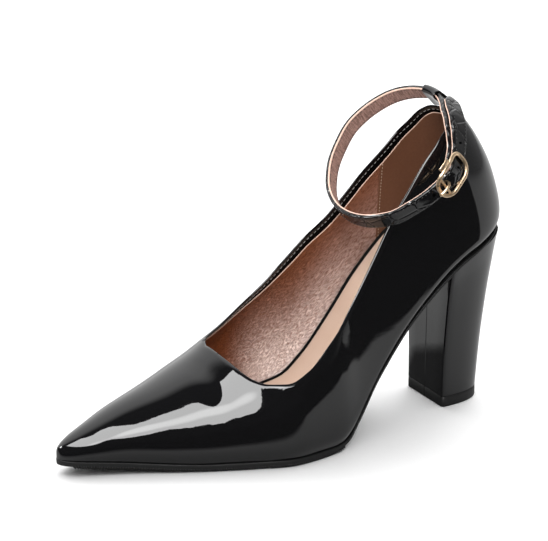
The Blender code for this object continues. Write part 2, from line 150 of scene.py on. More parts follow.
def outline(name, along):
    """A column of the last's outline; the table is read through a square root, which rounds the toe."""
    return OUTLINE[name](max(0.0, (SHOE_LENGTH - along) / SHOE_LENGTH))


def sole_bottom(along):
    return HEEL_HEIGHT * SOLE_BOTTOM(along / SHOE_LENGTH)


def sole_top(along):
    return sole_bottom(along) + SOLE_THICKNESS(along / SHOE_LENGTH)


def half_width(along, swing, sign):
    """Reach of the last from its spine; swing turns the section from the side to the back."""
    reach = BALL_WIDTH * outline("outer" if sign > 0 else "inner", along)
    if reach <= 0.0:
        return 0.0
    return 1.0 / math.hypot(math.cos(math.radians(swing)) / reach,
                            math.sin(math.radians(swing)) / BACK_REACH)


def foot_point(along, swing, sign, reach):
    """Plan place of a reach from the spine, as side and along."""
    turn = math.radians(swing)
    return (BALL_WIDTH * outline("spine", along) + sign * reach * math.cos(turn),
            along - reach * math.sin(turn))


def feather_reach(along, swing, sign):
    """Reach of the wall's lower edge, tucked in under the last."""
    reach = half_width(along, swing, sign)
    return reach - TUCK * min(1.0, reach / TUCK_REACH)


def stations(toe_steps, side_steps, back_steps):
    """Sections from the toe to the back, closer together at the toe, as along and swing."""
    places = [SHOE_LENGTH - VAMP_SPAN * (i / toe_steps) ** 2 for i in range(toe_steps + 1)]
    end = places[-1]
    places += [end + (PIVOT_ALONG - end) * i / side_steps for i in range(1, side_steps + 1)]
    return [(place, 0.0) for place in places] + [
        (PIVOT_ALONG, 90.0 * i / back_steps) for i in range(1, back_steps + 1)]


def across_ring(along, swing, reach_of, heights, corner, steps=8):
    """A closed ring across the foot: under from outer to inner edge, then back over the top.

    reach_of gives the under and over reach for a side, heights the under and over height at a
    place and share of the width; the four corners are rounded.
    """
    half_round = [(corner * (1 - math.sin(a)), corner * (1 - math.cos(a)))
                  for a in (math.pi / 2 * i / 3 for i in range(4))]
    ring = []
    for level in (0, 1):
        ends = [foot_point(along, swing, sign, reach_of(along, swing, sign)[level]) for sign in (1, -1)]
        width = max(0.05, math.hypot(ends[0][0] - ends[1][0], ends[0][1] - ends[1][1]))
        rows = [(min(0.45, inset / width), lift) for inset, lift in reversed(half_round)]
        first, last = rows[-1][0], 1 - rows[-1][0]
        rows += [(first + (last - first) * i / steps, 0.0) for i in range(1, steps)]
        rows += [(1 - share, lift) for share, lift in reversed(rows[:4])]
        line = []
        for share, lift in rows:
            side = ends[0][0] + (ends[1][0] - ends[0][0]) * share
            place = ends[0][1] + (ends[1][1] - ends[0][1]) * share
            height = heights(place, share)[level]
            line.append(Vector((side, place, height + (lift if level == 0 else -lift))))
        ring += line if level == 0 else line[::-1]
    return ring


def loft(rings, closed=False):
    """Points and faces of a solid through rings of equal length."""
    count = len(rings[0])
    points = [point for ring in rings for point in ring]
    faces = []
    for i in range(len(rings) if closed else len(rings) - 1):
        start, end = i * count, (i + 1) % len(rings) * count
        for j in range(count):
            k = (j + 1) % count
            faces.append((start + j, start + k, end + k, end + j))
    if not closed:
        faces.append(tuple(reversed(range(count))))
        faces.append(tuple(range(len(points) - count, len(points))))
    return points, faces


def store_features(mesh, features):
    """Named attributes on a mesh's points: numbers or vectors."""
    for name, values in (features or {}).items():
        if isinstance(values[0], Vector):
            store = mesh.attributes.new(name, "FLOAT_VECTOR", "POINT")
            store.data.foreach_set("vector", [part for value in values for part in value])
        else:
            store = mesh.attributes.new(name, "FLOAT", "POINT")
            store.data.foreach_set("value", values)


def new_object(name, data):
    """An object with its data, in the scene."""
    made = bpy.data.objects.new(name, data)
    bpy.context.scene.collection.objects.link(made)
    return made


def place_piece(name, mesh, node):
    """A mesh as a piece of the shoe, hung on the root body in place of its node, which is hidden."""
    piece = new_object(name, mesh)
    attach(piece, "root")
    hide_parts(node)
    return piece


def add_piece(name, points, faces, finishes, node, slot, kinds=None, crease=None, features=None):
    """A finished mesh piece, its faces turned outward; features are named attributes of its points."""
    mesh = bpy.data.meshes.new(name)
    mesh.from_pydata([to_world(point) for point in points], [], faces)
    for finish in finishes:
        mesh.materials.append(finish)
    if kinds:
        mesh.polygons.foreach_set("material_index", kinds)
    store_features(mesh, features)
    shape = bmesh.new()
    shape.from_mesh(mesh)
    bmesh.ops.remove_doubles(shape, verts=shape.verts, dist=MERGE_DISTANCE)
    bmesh.ops.dissolve_degenerate(shape, edges=shape.edges, dist=MERGE_DISTANCE / 10)
    bmesh.ops.recalc_face_normals(shape, faces=shape.faces)
    shape.to_mesh(mesh)
    shape.free()
    mesh.shade_smooth()
    if crease:
        mesh.set_sharp_from_angle(angle=math.radians(crease))
    return place_piece(name, mesh, node)


def linear(code):
    """An sRGB hex colour as linear RGBA."""
    parts = [int(code[i:i + 2], 16) / 255 for i in (1, 3, 5)]
    return (*(c / 12.92 if c <= 0.04045 else ((c + 0.055) / 1.055) ** 2.4 for c in parts), 1.0)


def feed(tree, node, inputs):
    """Set a node's inputs, each from a plain value, an output, or the first open output of a node."""
    for socket, value in inputs.items():
        if isinstance(value, bpy.types.Node):
            value = next(output for output in value.outputs if output.enabled)
        if isinstance(value, bpy.types.NodeSocket):
            tree.links.new(value, node.inputs[socket])
        else:
            node.inputs[socket].default_value = value


def add_node(tree, kind, inputs=None, **settings):
    """A node with its settings, fed from values and other nodes."""
    node = tree.nodes.new(kind)
    for name, value in settings.items():
        setattr(node, name, value)
    feed(tree, node, inputs or {})
    return node


def new_finish(name, feature=None):
    """An empty material, its node tree, its shader and the place its patterns are laid out by."""
    finish = bpy.data.materials.new(name)
    finish.use_nodes = True
    tree = finish.node_tree
    if feature:
        place = add_node(tree, "ShaderNodeAttribute", attribute_name=feature).outputs["Vector"]
    else:
        place = add_node(tree, "ShaderNodeTexCoord").outputs["Object"]
    return finish, tree, tree.nodes["Principled BSDF"], place


def grained_finish(name, colours, grain, depth, gloss, detail=2.0, breakup=0.5, others=None):
    """A material with one fine grain: in its colour and gloss where they have two ends, and as relief."""
    finish, tree, shader, place = new_finish(name)
    looks = {"Base Color": linear(colours[0]), "Roughness": gloss, **(others or {})}
    tone = add_node(tree, "ShaderNodeTexNoise", {"Vector": place, "Scale": 1 / (grain * MM),
                                                 "Detail": detail, "Roughness": breakup})
    if len(colours) == 2:
        colour = add_node(tree, "ShaderNodeMix", {0: tone, 6: linear(colours[0]), 7: linear(colours[1])},
                          data_type="RGBA")
        looks["Base Color"] = colour
    if isinstance(gloss, tuple):
        wear = add_node(tree, "ShaderNodeMapRange", {"Value": tone, "From Min": 0.3, "From Max": 0.7,
                                                     "To Min": gloss[0], "To Max": gloss[1]})
        looks["Roughness"] = wear
    if depth:
        relief = add_node(tree, "ShaderNodeBump", {"Height": tone, "Strength": 1.0, "Distance": depth * MM})
        looks["Normal"] = relief
    feed(tree, shader, looks)
    return finish


# Black sole rubber, moulded: nearly matt with a fine pebble, so its edge shows as a soft dark grey.
sole_rubber = grained_finish("black sole rubber", ("#101010",), grain=0.7, depth=0.12, gloss=(0.36, 0.62),
                             detail=3.0, breakup=0.6, others={"Specular IOR Level": 0.3})


def tread_lift(along):
    """How far the sole's body stands above the floor where its ribs are."""
    return TREAD_DEPTH * smooth_step((along - TREAD_START_ALONG) / TREAD_FADE)


def sole_reach(along, swing, sign):
    reach = max(SOLE_LEAST_REACH, feather_reach(along, swing, sign) + SOLE_EDGE)
    return max(RUBBER_TIP, reach - SOLE_UNDERCUT), reach


def sole_heights(along, share):
    return sole_bottom(along) + tread_lift(along), sole_top(along)


sole_rings = [across_ring(along, swing, sole_reach, sole_heights, SOLE_ROUND)
              for along, swing in stations(*SOLE_STATIONS)[1:-1]]
add_piece("sole_sheet", *loft(sole_rings), [sole_rubber], "outsole", "sole_rubber")


# Tread: fine ribs moulded across the underside of the forefoot; their ends make the small teeth
# along the sole's lower edge.
RIB_PITCH = 1.1
RIB_HALF = 0.40
RIB_END_ALONG = 221.0
RIB_OVERHANG = 0.25
RIB_LINE_STEPS = 69


def new_tree(name, sizes):
    """A Geometry Nodes tree with named sizes; returns it with its ends."""
    tree = bpy.data.node_groups.new(name, "GeometryNodeTree")
    tree.interface.new_socket(name="Geometry", in_out="INPUT", socket_type="NodeSocketGeometry")
    for size in sizes:
        tree.interface.new_socket(name=size, in_out="INPUT", socket_type="NodeSocketFloat")
    tree.interface.new_socket(name="Geometry", in_out="OUTPUT", socket_type="NodeSocketGeometry")
    return tree, tree.nodes.new("NodeGroupInput"), tree.nodes.new("NodeGroupOutput")


def even_steps(tree, start):
    """Points one pitch apart on the line that a tree is given, and the line's direction there."""
    line = add_node(tree, "GeometryNodeMeshToCurve", {"Mesh": start.outputs["Geometry"]})
    spaced = add_node(tree, "GeometryNodeResampleCurve",
                      {"Curve": line, "Length": start.outputs["Pitch"]}, mode="LENGTH")
    return spaced, add_node(tree, "GeometryNodeInputTangent")


def end_tree(tree, end, points, shape, turn, scale, finish):
    """Close a tree: a shape at each point, turned and scaled, as a smooth plain mesh in its material."""
    size = add_node(tree, "ShaderNodeCombineXYZ", dict(zip("XYZ", scale)))
    placed = add_node(tree, "GeometryNodeInstanceOnPoints",
                      {"Points": points, "Instance": shape, "Rotation": turn, "Scale": size})
    solid = add_node(tree, "GeometryNodeRealizeInstances", {"Geometry": placed})
    smooth = add_node(tree, "GeometryNodeSetShadeSmooth", {"Geometry": solid})
    dressed = add_node(tree, "GeometryNodeSetMaterial", {"Geometry": smooth, "Material": finish})
    feed(tree, end, {"Geometry": dressed})


def grow(name, path, tree, sizes, node, closed=False, features=None):
    """Run a tree on a line of points and keep the result as a plain mesh piece."""
    line = bpy.data.meshes.new(name + "_line")
    count = len(path)
    edges = [(i, (i + 1) % count) for i in range(count if closed else count - 1)]
    line.from_pydata([to_world(point) for point in path], edges, [])
    store_features(line, features)
    carrier = new_object(name + "_line", line)
    modifier = carrier.modifiers.new("grow", "NODES")
    modifier.node_group = tree
    for item in tree.interface.items_tree:
        if item.in_out == "INPUT" and item.name in sizes:
            modifier[item.identifier] = sizes[item.name]
    bpy.context.view_layer.update()
    graph = bpy.context.evaluated_depsgraph_get()
    mesh = bpy.data.meshes.new_from_object(carrier.evaluated_get(graph))
    mesh.name = name
    carrier.modifiers.remove(modifier)
    bpy.data.objects.remove(carrier)
    bpy.data.meshes.remove(line)
    return place_piece(name, mesh, node)


tree, start, end = new_tree("tread ribs", ("Pitch", "Half depth", "Height"))
spaced, tangent = even_steps(tree, start)
rib = add_node(tree, "GeometryNodeMeshCylinder", {"Vertices": 8, "Radius": 1.0, "Depth": 2.0})
lying = add_node(tree, "GeometryNodeTransform", {"Geometry": rib, "Rotation": (0.0, math.pi / 2, 0.0)})
turned = add_node(tree, "FunctionNodeAlignRotationToVector", {"Vector": tangent}, axis="Y", pivot_axis="X")
reach = add_node(tree, "GeometryNodeInputNamedAttribute", {"Name": "half_width"}, data_type="FLOAT")
end_tree(tree, end, spaced, lying, turned,
         (reach, start.outputs["Half depth"], start.outputs["Height"]), sole_rubber)

rib_line, rib_reach = [], []
rib_start = TREAD_START_ALONG + TREAD_FADE
for i in range(RIB_LINE_STEPS + 1):
    along = rib_start + (RIB_END_ALONG - rib_start) * i / RIB_LINE_STEPS
    outer, inner = (foot_point(along, 0.0, sign, sole_reach(along, 0.0, sign)[0])[0] for sign in (1, -1))
    rib_line.append(Vector(((outer + inner) / 2, along, sole_bottom(along) + TREAD_DEPTH)))
    rib_reach.append(max(RUBBER_TIP, (outer - inner) / 2 + RIB_OVERHANG) * MM)
grow("tread_ribs", rib_line, tree,
     {"Pitch": RIB_PITCH * MM, "Half depth": RIB_HALF * MM, "Height": TREAD_DEPTH * MM},
     "outsole", features={"half_width": rib_reach})


# Heel: a moulded block covered in patent leather, stuck and nailed under the heel seat. The cover
# is wrapped round from behind and its two edges meet in a seam down the breast.
GAP = 0.3
LIFT_HEIGHT = 5.2
HEEL_FULLNESS = 2.7
HEEL_CORNER = 1.7
HEEL_STEPS = 40
HEEL_LEVELS = 28
HEEL_CREASE = 50
SEAM_HALF = 0.35
SEAM_DEPTH = 0.5
HEEL_ROWS = (
    (0.00, 15.5, 36.4, 11.5),
    (0.30, 16.2, 36.2, 9.6),
    (0.60, 17.8, 36.0, 6.9),
    (0.85, 20.4, 36.4, 4.2),
    (1.00, 23.2, 37.0, 2.8),
)
HEEL_HALF, HEEL_BREAST, HEEL_BACK = (curve_through(HEEL_ROWS, column) for column in (1, 2, 3))

# Black patent leather: a smooth lacquered coat over dyed hide. The eye sees hard, slightly rippled
# reflections of the room on a deep black.
PATENT_RIPPLE = 11.0
PATENT_WIPE = 2.2
PATENT_WIPE_DRAW = 0.12
patent, tree, shader, place = new_finish("black patent leather")
ripple = add_node(tree, "ShaderNodeTexNoise",
                  {"Vector": place, "Scale": 1 / (PATENT_RIPPLE * MM), "Detail": 1.0, "Roughness": 0.4})
wiped = add_node(tree, "ShaderNodeMapping", {"Vector": place, "Scale": (1.0, PATENT_WIPE_DRAW, 1.0)})
wipe = add_node(tree, "ShaderNodeTexNoise", {"Vector": wiped, "Scale": 1 / (PATENT_WIPE * MM)})
wipe_bump = add_node(tree, "ShaderNodeBump", {"Height": wipe, "Strength": 1.0, "Distance": 0.012 * MM})
ripple_bump = add_node(tree, "ShaderNodeBump", {"Height": ripple, "Strength": 1.0,
                                                "Distance": 0.05 * MM, "Normal": wipe_bump})


def lacquer(tree, shader, relief, coat_roughness):
    """A clear hard coat over hide dyed black, both with the same relief."""
    feed(tree, shader, {"Base Color": linear("#060607"), "Roughness": 0.35, "Specular IOR Level": 0.0,
                        "Coat Weight": 1.0, "Coat Roughness": coat_roughness, "Coat IOR": 1.5,
                        "Normal": relief, "Coat Normal": relief})


lacquer(tree, shader, ripple_bump, coat_roughness=0.03)


def heel_ring(rise, inset=0.0):
    """D-shaped ring of a heel level as side and along: round the back, then along the breast."""
    half, breast, back = (read(rise) for read in (HEEL_HALF, HEEL_BREAST, HEEL_BACK))
    half, breast, back = half - inset, breast - inset, back + inset
    quarter = [math.pi / 2 * i / 4 for i in range(5)]
    ring = [(half - HEEL_CORNER * (1 - math.sin(a)), breast - HEEL_CORNER * (1 - math.cos(a)))
            for a in quarter]
    for i in range(1, HEEL_STEPS):
        turn = math.pi * i / HEEL_STEPS
        side = math.copysign(abs(math.cos(turn)) ** (2 / HEEL_FULLNESS), math.cos(turn))
        ring.append((half * side, breast - (breast - back) * math.sin(turn) ** (2 / HEEL_FULLNESS)))
    ring += [(-side, along) for side, along in reversed(ring[:5])]
    seam = [(-SEAM_HALF, breast), (0.0, breast - SEAM_DEPTH), (SEAM_HALF, breast)]
    ring += [(-half * 0.5, breast), (-3 * SEAM_HALF, breast), *seam, (3 * SEAM_HALF, breast),
             (half * 0.5, breast)]
    return ring


heel_foot = LIFT_HEIGHT + GAP
heel_rings = []
for i in range(HEEL_LEVELS + 1):
    rise = i / HEEL_LEVELS
    heel_rings.append([Vector((side, along, heel_foot + (sole_bottom(along) - GAP - heel_foot) * rise))
                       for side, along in heel_ring(rise)])
add_piece("heel_cover", *loft(heel_rings), [patent], "heel", "patent_leather", crease=HEEL_CREASE)


# Top lift: a plug of hard black rubber pinned to the foot of the heel, its edge trimmed flush; the
# levels are a height and how far the edge is rounded in there.
LIFT_LEVELS = ((0.0, 0.5), (0.15, 0.2), (0.5, 0.0), (LIFT_HEIGHT - 0.3, 0.0), (LIFT_HEIGHT, 0.25))
lift_rings = [[Vector((side, along, height)) for side, along in heel_ring(0.0, inset)]
              for height, inset in LIFT_LEVELS]
add_piece("heel_top_piece", *loft(lift_rings), [sole_rubber], "top_lift", "sole_rubber", crease=HEEL_CREASE)


# Upper: the vamp and both quarters pulled over the last as one skin of patent leather, its top
# edge folded in, its lower edge lasted under and stuck to the sole.
INSTEP_HEIGHT = 42.0
COLLAR_HEIGHT = 140.0
LEAN_REACH = 16.0
LEAN_RISE = 54.0
LEAN_CURVE = 1.5
LEAN_END_ALONG = 112.0
BELLY_HEIGHT = 8.0
BELLY_SHARE = 0.4
BELLY_RISE = 0.16
PATENT_WALL = 1.3
LASTED_BULGE = 0.6 * PATENT_WALL
FOLD_BULGE = 1.45
FOLD_LIP = 0.25
FOLD_RISE = 0.85
RIM_STEPS = 8
RIDGE_BLEND = 10.0
CAGE_PASSES = 4
TIP_THIN = 14.0
TIP_BEYOND = 2.0
VAMP_HOLLOWS = (
    ((-8.0, 145.0, 42.0), (14.0, 8.0, 40.0), -1.9),
    ((12.0, 158.0, 42.0), (11.0, 5.5, 40.0), 1.4),
    ((1.0, 159.0, 42.0), (5.0, 1.4, 40.0), 0.14),
    ((4.0, 162.5, 42.0), (5.0, 1.2, 40.0), 0.10),
    ((33.0, 131.0, 46.0), (30.0, 17.0, 9.0), -1.4),
)
COUNTER_ROLL = 0.6
COUNTER_ROLL_HEIGHT = 10.0
COUNTER_ROLL_END_ALONG = 60.0
COUNTER_ROLL_FADE = 25.0
CAGE_STATIONS = (13, 13, 6)
CAGE_RISES = (0.0, 0.05, 0.11, 0.18, 0.27, 0.36, 0.46, 0.56, 0.66, 0.76, 0.86, 0.94, 1.0)
TOPLINE_ROWS = (
    (0.105, 1.002, 1.005),
    (0.120, 1.006, 1.007),
    (0.133, 1.008, 0.992),
    (0.150, 1.006, 0.950),
    (0.182, 0.983, 0.895),
    (0.206, 0.944, 0.857),
    (0.232, 0.898, 0.822),
    (0.275, 0.801, 0.765),
    (0.310, 0.721, 0.713),
    (0.352, 0.615, 0.653),
    (0.404, 0.497, 0.595),
    (0.442, 0.428, 0.537),
    (0.483, 0.371, 0.476),
    (0.532, 0.311, 0.419),
    (0.585, 0.277, 0.369),
    (0.617, 0.277, 0.347),
    (0.640, 0.288, 0.338),
    (0.652, 0.303, 0.336),
    (0.660, 0.319, 0.337),
    (0.664, 0.331, 0.337),
    (0.668, 0.337, 0.337),
    (0.677, 0.450, 0.450),
    (0.720, 1.000, 1.000),
)
TOPLINE_OUTER, TOPLINE_INNER = (curve_through(TOPLINE_ROWS, column) for column in (1, 2))


def wall_point(along, swing, sign, rise):
    """A point of the last's outside: rise 0 is the lower edge, rise 1 the ridge."""
    reach = half_width(along, swing, sign)
    low = feather_reach(along, swing, sign)
    power = 2.0 / outline("fullness", along)
    ridge = INSTEP_HEIGHT * outline("ridge", along)
    base = sole_top(foot_point(along, swing, sign, low)[1]) + GAP
    belly = min(BELLY_HEIGHT, BELLY_SHARE * (ridge - base))
    if rise < BELLY_RISE:
        share = rise / BELLY_RISE
        reach -= (reach - low) * (1 - share) ** 2
        lift = belly * share
    else:
        turn = (rise - BELLY_RISE) / (1 - BELLY_RISE) * math.pi / 2
        reach *= max(0.0, math.cos(turn)) ** power
        lift = belly + (ridge - base - belly) * math.sin(turn) ** power
    side, place = foot_point(along, swing, sign, reach)
    back = min(1.0, max(0.0, (LEAN_END_ALONG - along) / (LEAN_END_ALONG - PIVOT_ALONG)))
    return Vector((side, place + LEAN_REACH * back * (lift / LEAN_RISE) ** LEAN_CURVE, base + lift))


def topline(side, along):
    """Height of the top edge at a place, one side's curve running into the other at the middle."""
    share = smooth_step((side - BALL_WIDTH * outline("spine", along)) / (2 * RIDGE_BLEND) + 0.5)
    low, high = (COLLAR_HEIGHT * read(along / SHOE_LENGTH) for read in (TOPLINE_INNER, TOPLINE_OUTER))
    return low + (high - low) * share


def last_sheet():
    """The whole skin of the last as a smooth sheet: points, outward normals and faces."""
    points, index, faces = [], {}, []

    def vertex(point):
        key = tuple(round(value, 3) for value in point)
        if key not in index:
            index[key] = len(points)
            points.append(point)
        return index[key]

    for sign in (1, -1):
        columns = [[vertex(wall_point(along, swing, sign, rise)) for rise in CAGE_RISES]
                   for along, swing in stations(*CAGE_STATIONS)]
        for front, back in zip(columns, columns[1:]):
            for row in range(len(CAGE_RISES) - 1):
                face = [front[row], back[row], back[row + 1], front[row + 1]]
                face = list(dict.fromkeys(face if sign < 0 else face[::-1]))
                if len(face) >= 3:
                    faces.append(face)
    mesh = bpy.data.meshes.new("last_cage")
    mesh.from_pydata(points, [], faces)
    cage = new_object("last_cage", mesh)
    smooth = cage.modifiers.new("smooth", "SUBSURF")
    smooth.levels = smooth.render_levels = 3

    def smoothed():
        bpy.context.view_layer.update()
        return bpy.data.meshes.new_from_object(cage.evaluated_get(bpy.context.evaluated_depsgraph_get()))

    for _ in range(CAGE_PASSES):
        fine = smoothed()
        for corner, target in zip(mesh.vertices, points):
            corner.co += target - fine.vertices[corner.index].co
        mesh.update()
        bpy.data.meshes.remove(fine)
    fine = smoothed()
    sheet = ([v.co.copy() for v in fine.vertices], [v.normal.copy() for v in fine.vertices],
             [list(p.vertices) for p in fine.polygons])
    bpy.data.objects.remove(cage)
    bpy.data.meshes.remove(mesh)
    bpy.data.meshes.remove(fine)
    return sheet


def trim(sheet, values):
    """The part of a sheet where the values aren't above zero, and the new edge as a ring of points."""
    points, normals, faces = sheet
    kept_points, kept_normals, kept_faces, index, after = [], [], [], {}, {}

    def keep(key, point, normal):
        if key not in index:
            index[key] = len(kept_points)
            kept_points.append(point)
            kept_normals.append(normal)
        return index[key]

    for face in faces:
        ring, marks = [], []
        for a, b in zip(face, face[1:] + face[:1]):
            if values[a] <= 0:
                ring.append(keep(a, points[a], normals[a]))
            if (values[a] <= 0) != (values[b] <= 0):
                low, high = min(a, b), max(a, b)
                t = values[low] / (values[low] - values[high])
                mark = keep((low, high), points[low].lerp(points[high], t),
                            normals[low].lerp(normals[high], t).normalized())
                ring.append(mark)
                marks.append((values[a] <= 0, mark))
        if len(ring) >= 3:
            kept_faces.append(ring)
        if len(marks) == 2:
            leaving, entering = (mark for _, mark in sorted(marks, reverse=True))
            after[leaving] = entering
    longest = []
    left = set(after)
    while left:
        first = left.pop()
        chain, at = [first], after[first]
        while at in left:
            left.discard(at)
            chain.append(at)
            at = after[at]
        if len(chain) > len(longest):
            longest = chain
    return (kept_points, kept_normals, kept_faces), longest


def tip_share(point):
    """Share of a wall's full thickness: thinner at the toe's tip, which has no room for it."""
    return smooth_step((SHOE_LENGTH + TIP_BEYOND - point.y) / TIP_THIN)


def make_shell(sheet, near, far, arc_steps, bulge, folded=()):
    """A closed skin between two depths inside a sheet, with rounded edges; the outside is kind 0,
    the edge 1 and the inside 2. A folded edge is rounder, with a narrow flat lip that leads into it.
    """
    points, normals, faces = sheet
    edges = {(a, b) for face in faces for a, b in zip(face, face[1:] + face[:1])}
    rim = [(a, b) for a, b in edges if (b, a) not in edges]
    flow = {}
    for a, b in rim:
        step = (points[b] - points[a]).normalized()
        flow[a] = flow.get(a, Vector()) + step
        flow[b] = flow.get(b, Vector()) + step
    count = len(points)
    made = [p - n * near for p, n in zip(points, normals)]
    made += [p - n * (near + (far - near) * tip_share(p)) for p, n in zip(points, normals)]
    strips = {}
    for v, direction in flow.items():
        outward = direction.normalized().cross(normals[v]).normalized()
        strip = [v]
        lip, reach = (FOLD_LIP, FOLD_BULGE) if v in folded else (0.0, bulge)
        for i in range(arc_steps + 1) if lip else range(1, arc_steps):
            angle = math.pi * i / arc_steps
            depth = (near + far) / 2 - (far - near) / 2 * math.cos(angle)
            strip.append(len(made))
            made.append(points[v] - normals[v] * depth + outward * (lip + reach * math.sin(angle)))
        strips[v] = strip + [v + count]
    skin = [tuple(face) for face in faces] + [tuple(i + count for i in reversed(face)) for face in faces]
    kinds = [0] * len(faces) + [2] * len(faces)
    for a, b in rim:
        for i in range(len(strips[a]) - 1):
            skin.append((strips[b][i], strips[a][i], strips[a][i + 1], strips[b][i + 1]))
            kinds.append(1)
    return made, skin, kinds


def worked_in(point, normal):
    """A place of the skin with the hollows that lasting and wear have left, and the counter's roll."""
    sink = 0.0
    for middle, reach, depth in VAMP_HOLLOWS:
        sink += depth * math.exp(-sum(((p - m) / r) ** 2 for p, m, r in zip(point, middle, reach)))
    above_seat = (point.z - sole_top(point.y)) / COUNTER_ROLL_HEIGHT
    behind = smooth_step((COUNTER_ROLL_END_ALONG - point.y) / COUNTER_ROLL_FADE)
    return point - normal * (sink + COUNTER_ROLL * math.exp(-above_seat ** 2) * behind)


last_points, last_normals, last_faces = last_sheet()
last_points = [worked_in(point, normal) for point, normal in zip(last_points, last_normals)]
skin, collar = trim((last_points, last_normals, last_faces),
                    [point.z + FOLD_RISE - topline(point.x, point.y) for point in last_points])
made, faces, kinds = make_shell(skin, 0.0, PATENT_WALL, RIM_STEPS, LASTED_BULGE, set(collar))

# Folded-in patent: the margin turned to the inside, pressed flat and rubbed, so it mirrors much less.
patent_fold = grained_finish("folded black patent leather", ("#030303",), grain=1.5, depth=0.08, gloss=0.5,
                             others={"Specular IOR Level": 0.03})
add_piece("patent_upper", made, faces, [patent, patent, patent_fold], "upper", "patent_leather", kinds)


# Lining: soft rose-brown leather glued inside the upper, trimmed a few millimetres below the folded
# edge so that a black band shows above its pale raw edge; a smooth brown heel grip closes the back.
BAND_WIDTH = 3.4
BAND_BACK_SHARE = 0.3
BAND_FULL_ALONG = 45.0
LINING_GAP = 0.05
LINING_WALL = 0.6
LINING_RIM_STEPS = 3
LINING_BULGE = 0.1
COLLAR_DIVISIONS = 4
LINING_END_ALONG = 196.0
GRIP_FRONT = 50.5
GRIP_LEAN = -0.03
# Where the lining is painted pale pink for its sheen and the light thrown up from the insole: heights and
# fades.
PAINTED_SHEEN_FROM = 11.0
PAINTED_SHEEN_HEIGHT = 26.0
PAINTED_SHEEN_FRONT = 129.0
PAINTED_SHEEN_FRONT_FADE = 28.0
PAINTED_SHEEN_BACK_SHARE = 0.3
PAINTED_SHEEN_BACK_FADE = 50.0

# Rose lining leather: drum-dyed brown and lightly glazed, with a fine drawn wrinkle. Low on the wall it is
# painted pink and pale for the glaze's sheen and the light thrown up from the insole; a point attribute gives
# how much.
LINING_GRAIN = 0.38
LINING_CLOUD = 14.0
LINING_SLOPE = 0.68
LINING_DRAW = 0.17
lining_leather, tree, shader, place = new_finish("rose lining leather")
laid = add_node(tree, "ShaderNodeMapping", {"Vector": place, "Rotation": (-LINING_SLOPE, 0.0, 0.0)})
drawn = add_node(tree, "ShaderNodeMapping", {"Vector": laid, "Scale": (1.0, LINING_DRAW, 1.0)})
grain = add_node(tree, "ShaderNodeTexNoise", {"Vector": drawn, "Scale": 1 / (LINING_GRAIN * MM),
                                              "Detail": 3.0, "Roughness": 0.6, "Distortion": 0.6})
cloud = add_node(tree, "ShaderNodeTexNoise", {"Vector": drawn, "Scale": 1 / (LINING_CLOUD * MM)})
furrow = add_node(tree, "ShaderNodeMapRange", {"Value": grain, "From Min": 0.39, "From Max": 0.58},
                  interpolation_type="SMOOTHSTEP")
tone = add_node(tree, "ShaderNodeMath", {0: cloud, 1: 0.35, 2: furrow}, operation="MULTIPLY_ADD")
shade = add_node(tree, "ShaderNodeMapRange", {"Value": tone, "From Min": 0.05, "From Max": 0.76})
brown, pink = (add_node(tree, "ShaderNodeMix", {0: shade, 6: linear(dark), 7: linear(light)},
                        data_type="RGBA")
               for dark, light in (("#5C3119", "#834A2C"), ("#A17565", "#FCE8E0")))
# Painted sheen: low on the wall the colour turns pale pink for the glaze's sheen and the insole's bounced
# light; the pale end of the pink pair paints glints on the wrinkles.
painted_sheen = add_node(tree, "ShaderNodeAttribute", attribute_name="painted_sheen").outputs["Fac"]
colour = add_node(tree, "ShaderNodeMix", {0: painted_sheen, 6: brown, 7: pink}, data_type="RGBA")
relief = add_node(tree, "ShaderNodeBump", {"Height": furrow, "Strength": 1.0, "Distance": 0.45 * MM})
glaze = add_node(tree, "ShaderNodeMath", {0: painted_sheen, 1: 0.5, 2: 0.06}, operation="MULTIPLY_ADD")
feed(tree, shader, {"Base Color": colour, "Roughness": 0.42, "Normal": relief,
                    "Specular IOR Level": glaze})

# Brown heel grip: smooth napped leather, matt, a little darker than the lining.
grip_leather = grained_finish("brown heel grip leather", ("#54331F", "#643F2A"), grain=1.2, depth=0.06,
                              gloss=0.6, detail=3.0)

# Raw leather edge: undyed pale tan fibre where the lining is cut.
raw_edge = grained_finish("raw tan leather edge", ("#A58473", "#D2B3A3"), grain=0.5, depth=0.0, gloss=0.7,
                          detail=3.0)

collar_points = [skin[0][i] for i in collar]
collar_normals = [skin[1][i] for i in collar]
collar_flow = [(collar_points[(i + 1) % len(collar)] - collar_points[i - 1]).normalized()
               for i in range(len(collar))]
collar_up = [flow.cross(normal).normalized() for flow, normal in zip(collar_flow, collar_normals)]
near_collar = KDTree(COLLAR_DIVISIONS * len(collar))
for i, point in enumerate(collar_points):
    ahead = collar_points[(i + 1) % len(collar)]
    for j in range(COLLAR_DIVISIONS):
        near_collar.insert(point.lerp(ahead, j / COLLAR_DIVISIONS), COLLAR_DIVISIONS * i + j)
near_collar.balance()


def band_width(point):
    """The black band narrows to a thin fold toward the back."""
    return BAND_WIDTH * (BAND_BACK_SHARE + (1 - BAND_BACK_SHARE) * smooth_step(point.y / BAND_FULL_ALONG))


below_band, _ = trim(skin, [max(band_width(point) - near_collar.find(point)[2], point.y - LINING_END_ALONG)
                            for point in skin[0]])


def grip_front(point):
    """How far a place lies ahead of the heel grip's front edge."""
    return point.y - GRIP_FRONT - GRIP_LEAN * (point.z - HEEL_HEIGHT)


front_lining, _ = trim(below_band, [-grip_front(point) for point in below_band[0]])
heel_grip, _ = trim(below_band, [grip_front(point) for point in below_band[0]])
lining_near = PATENT_WALL + LINING_GAP


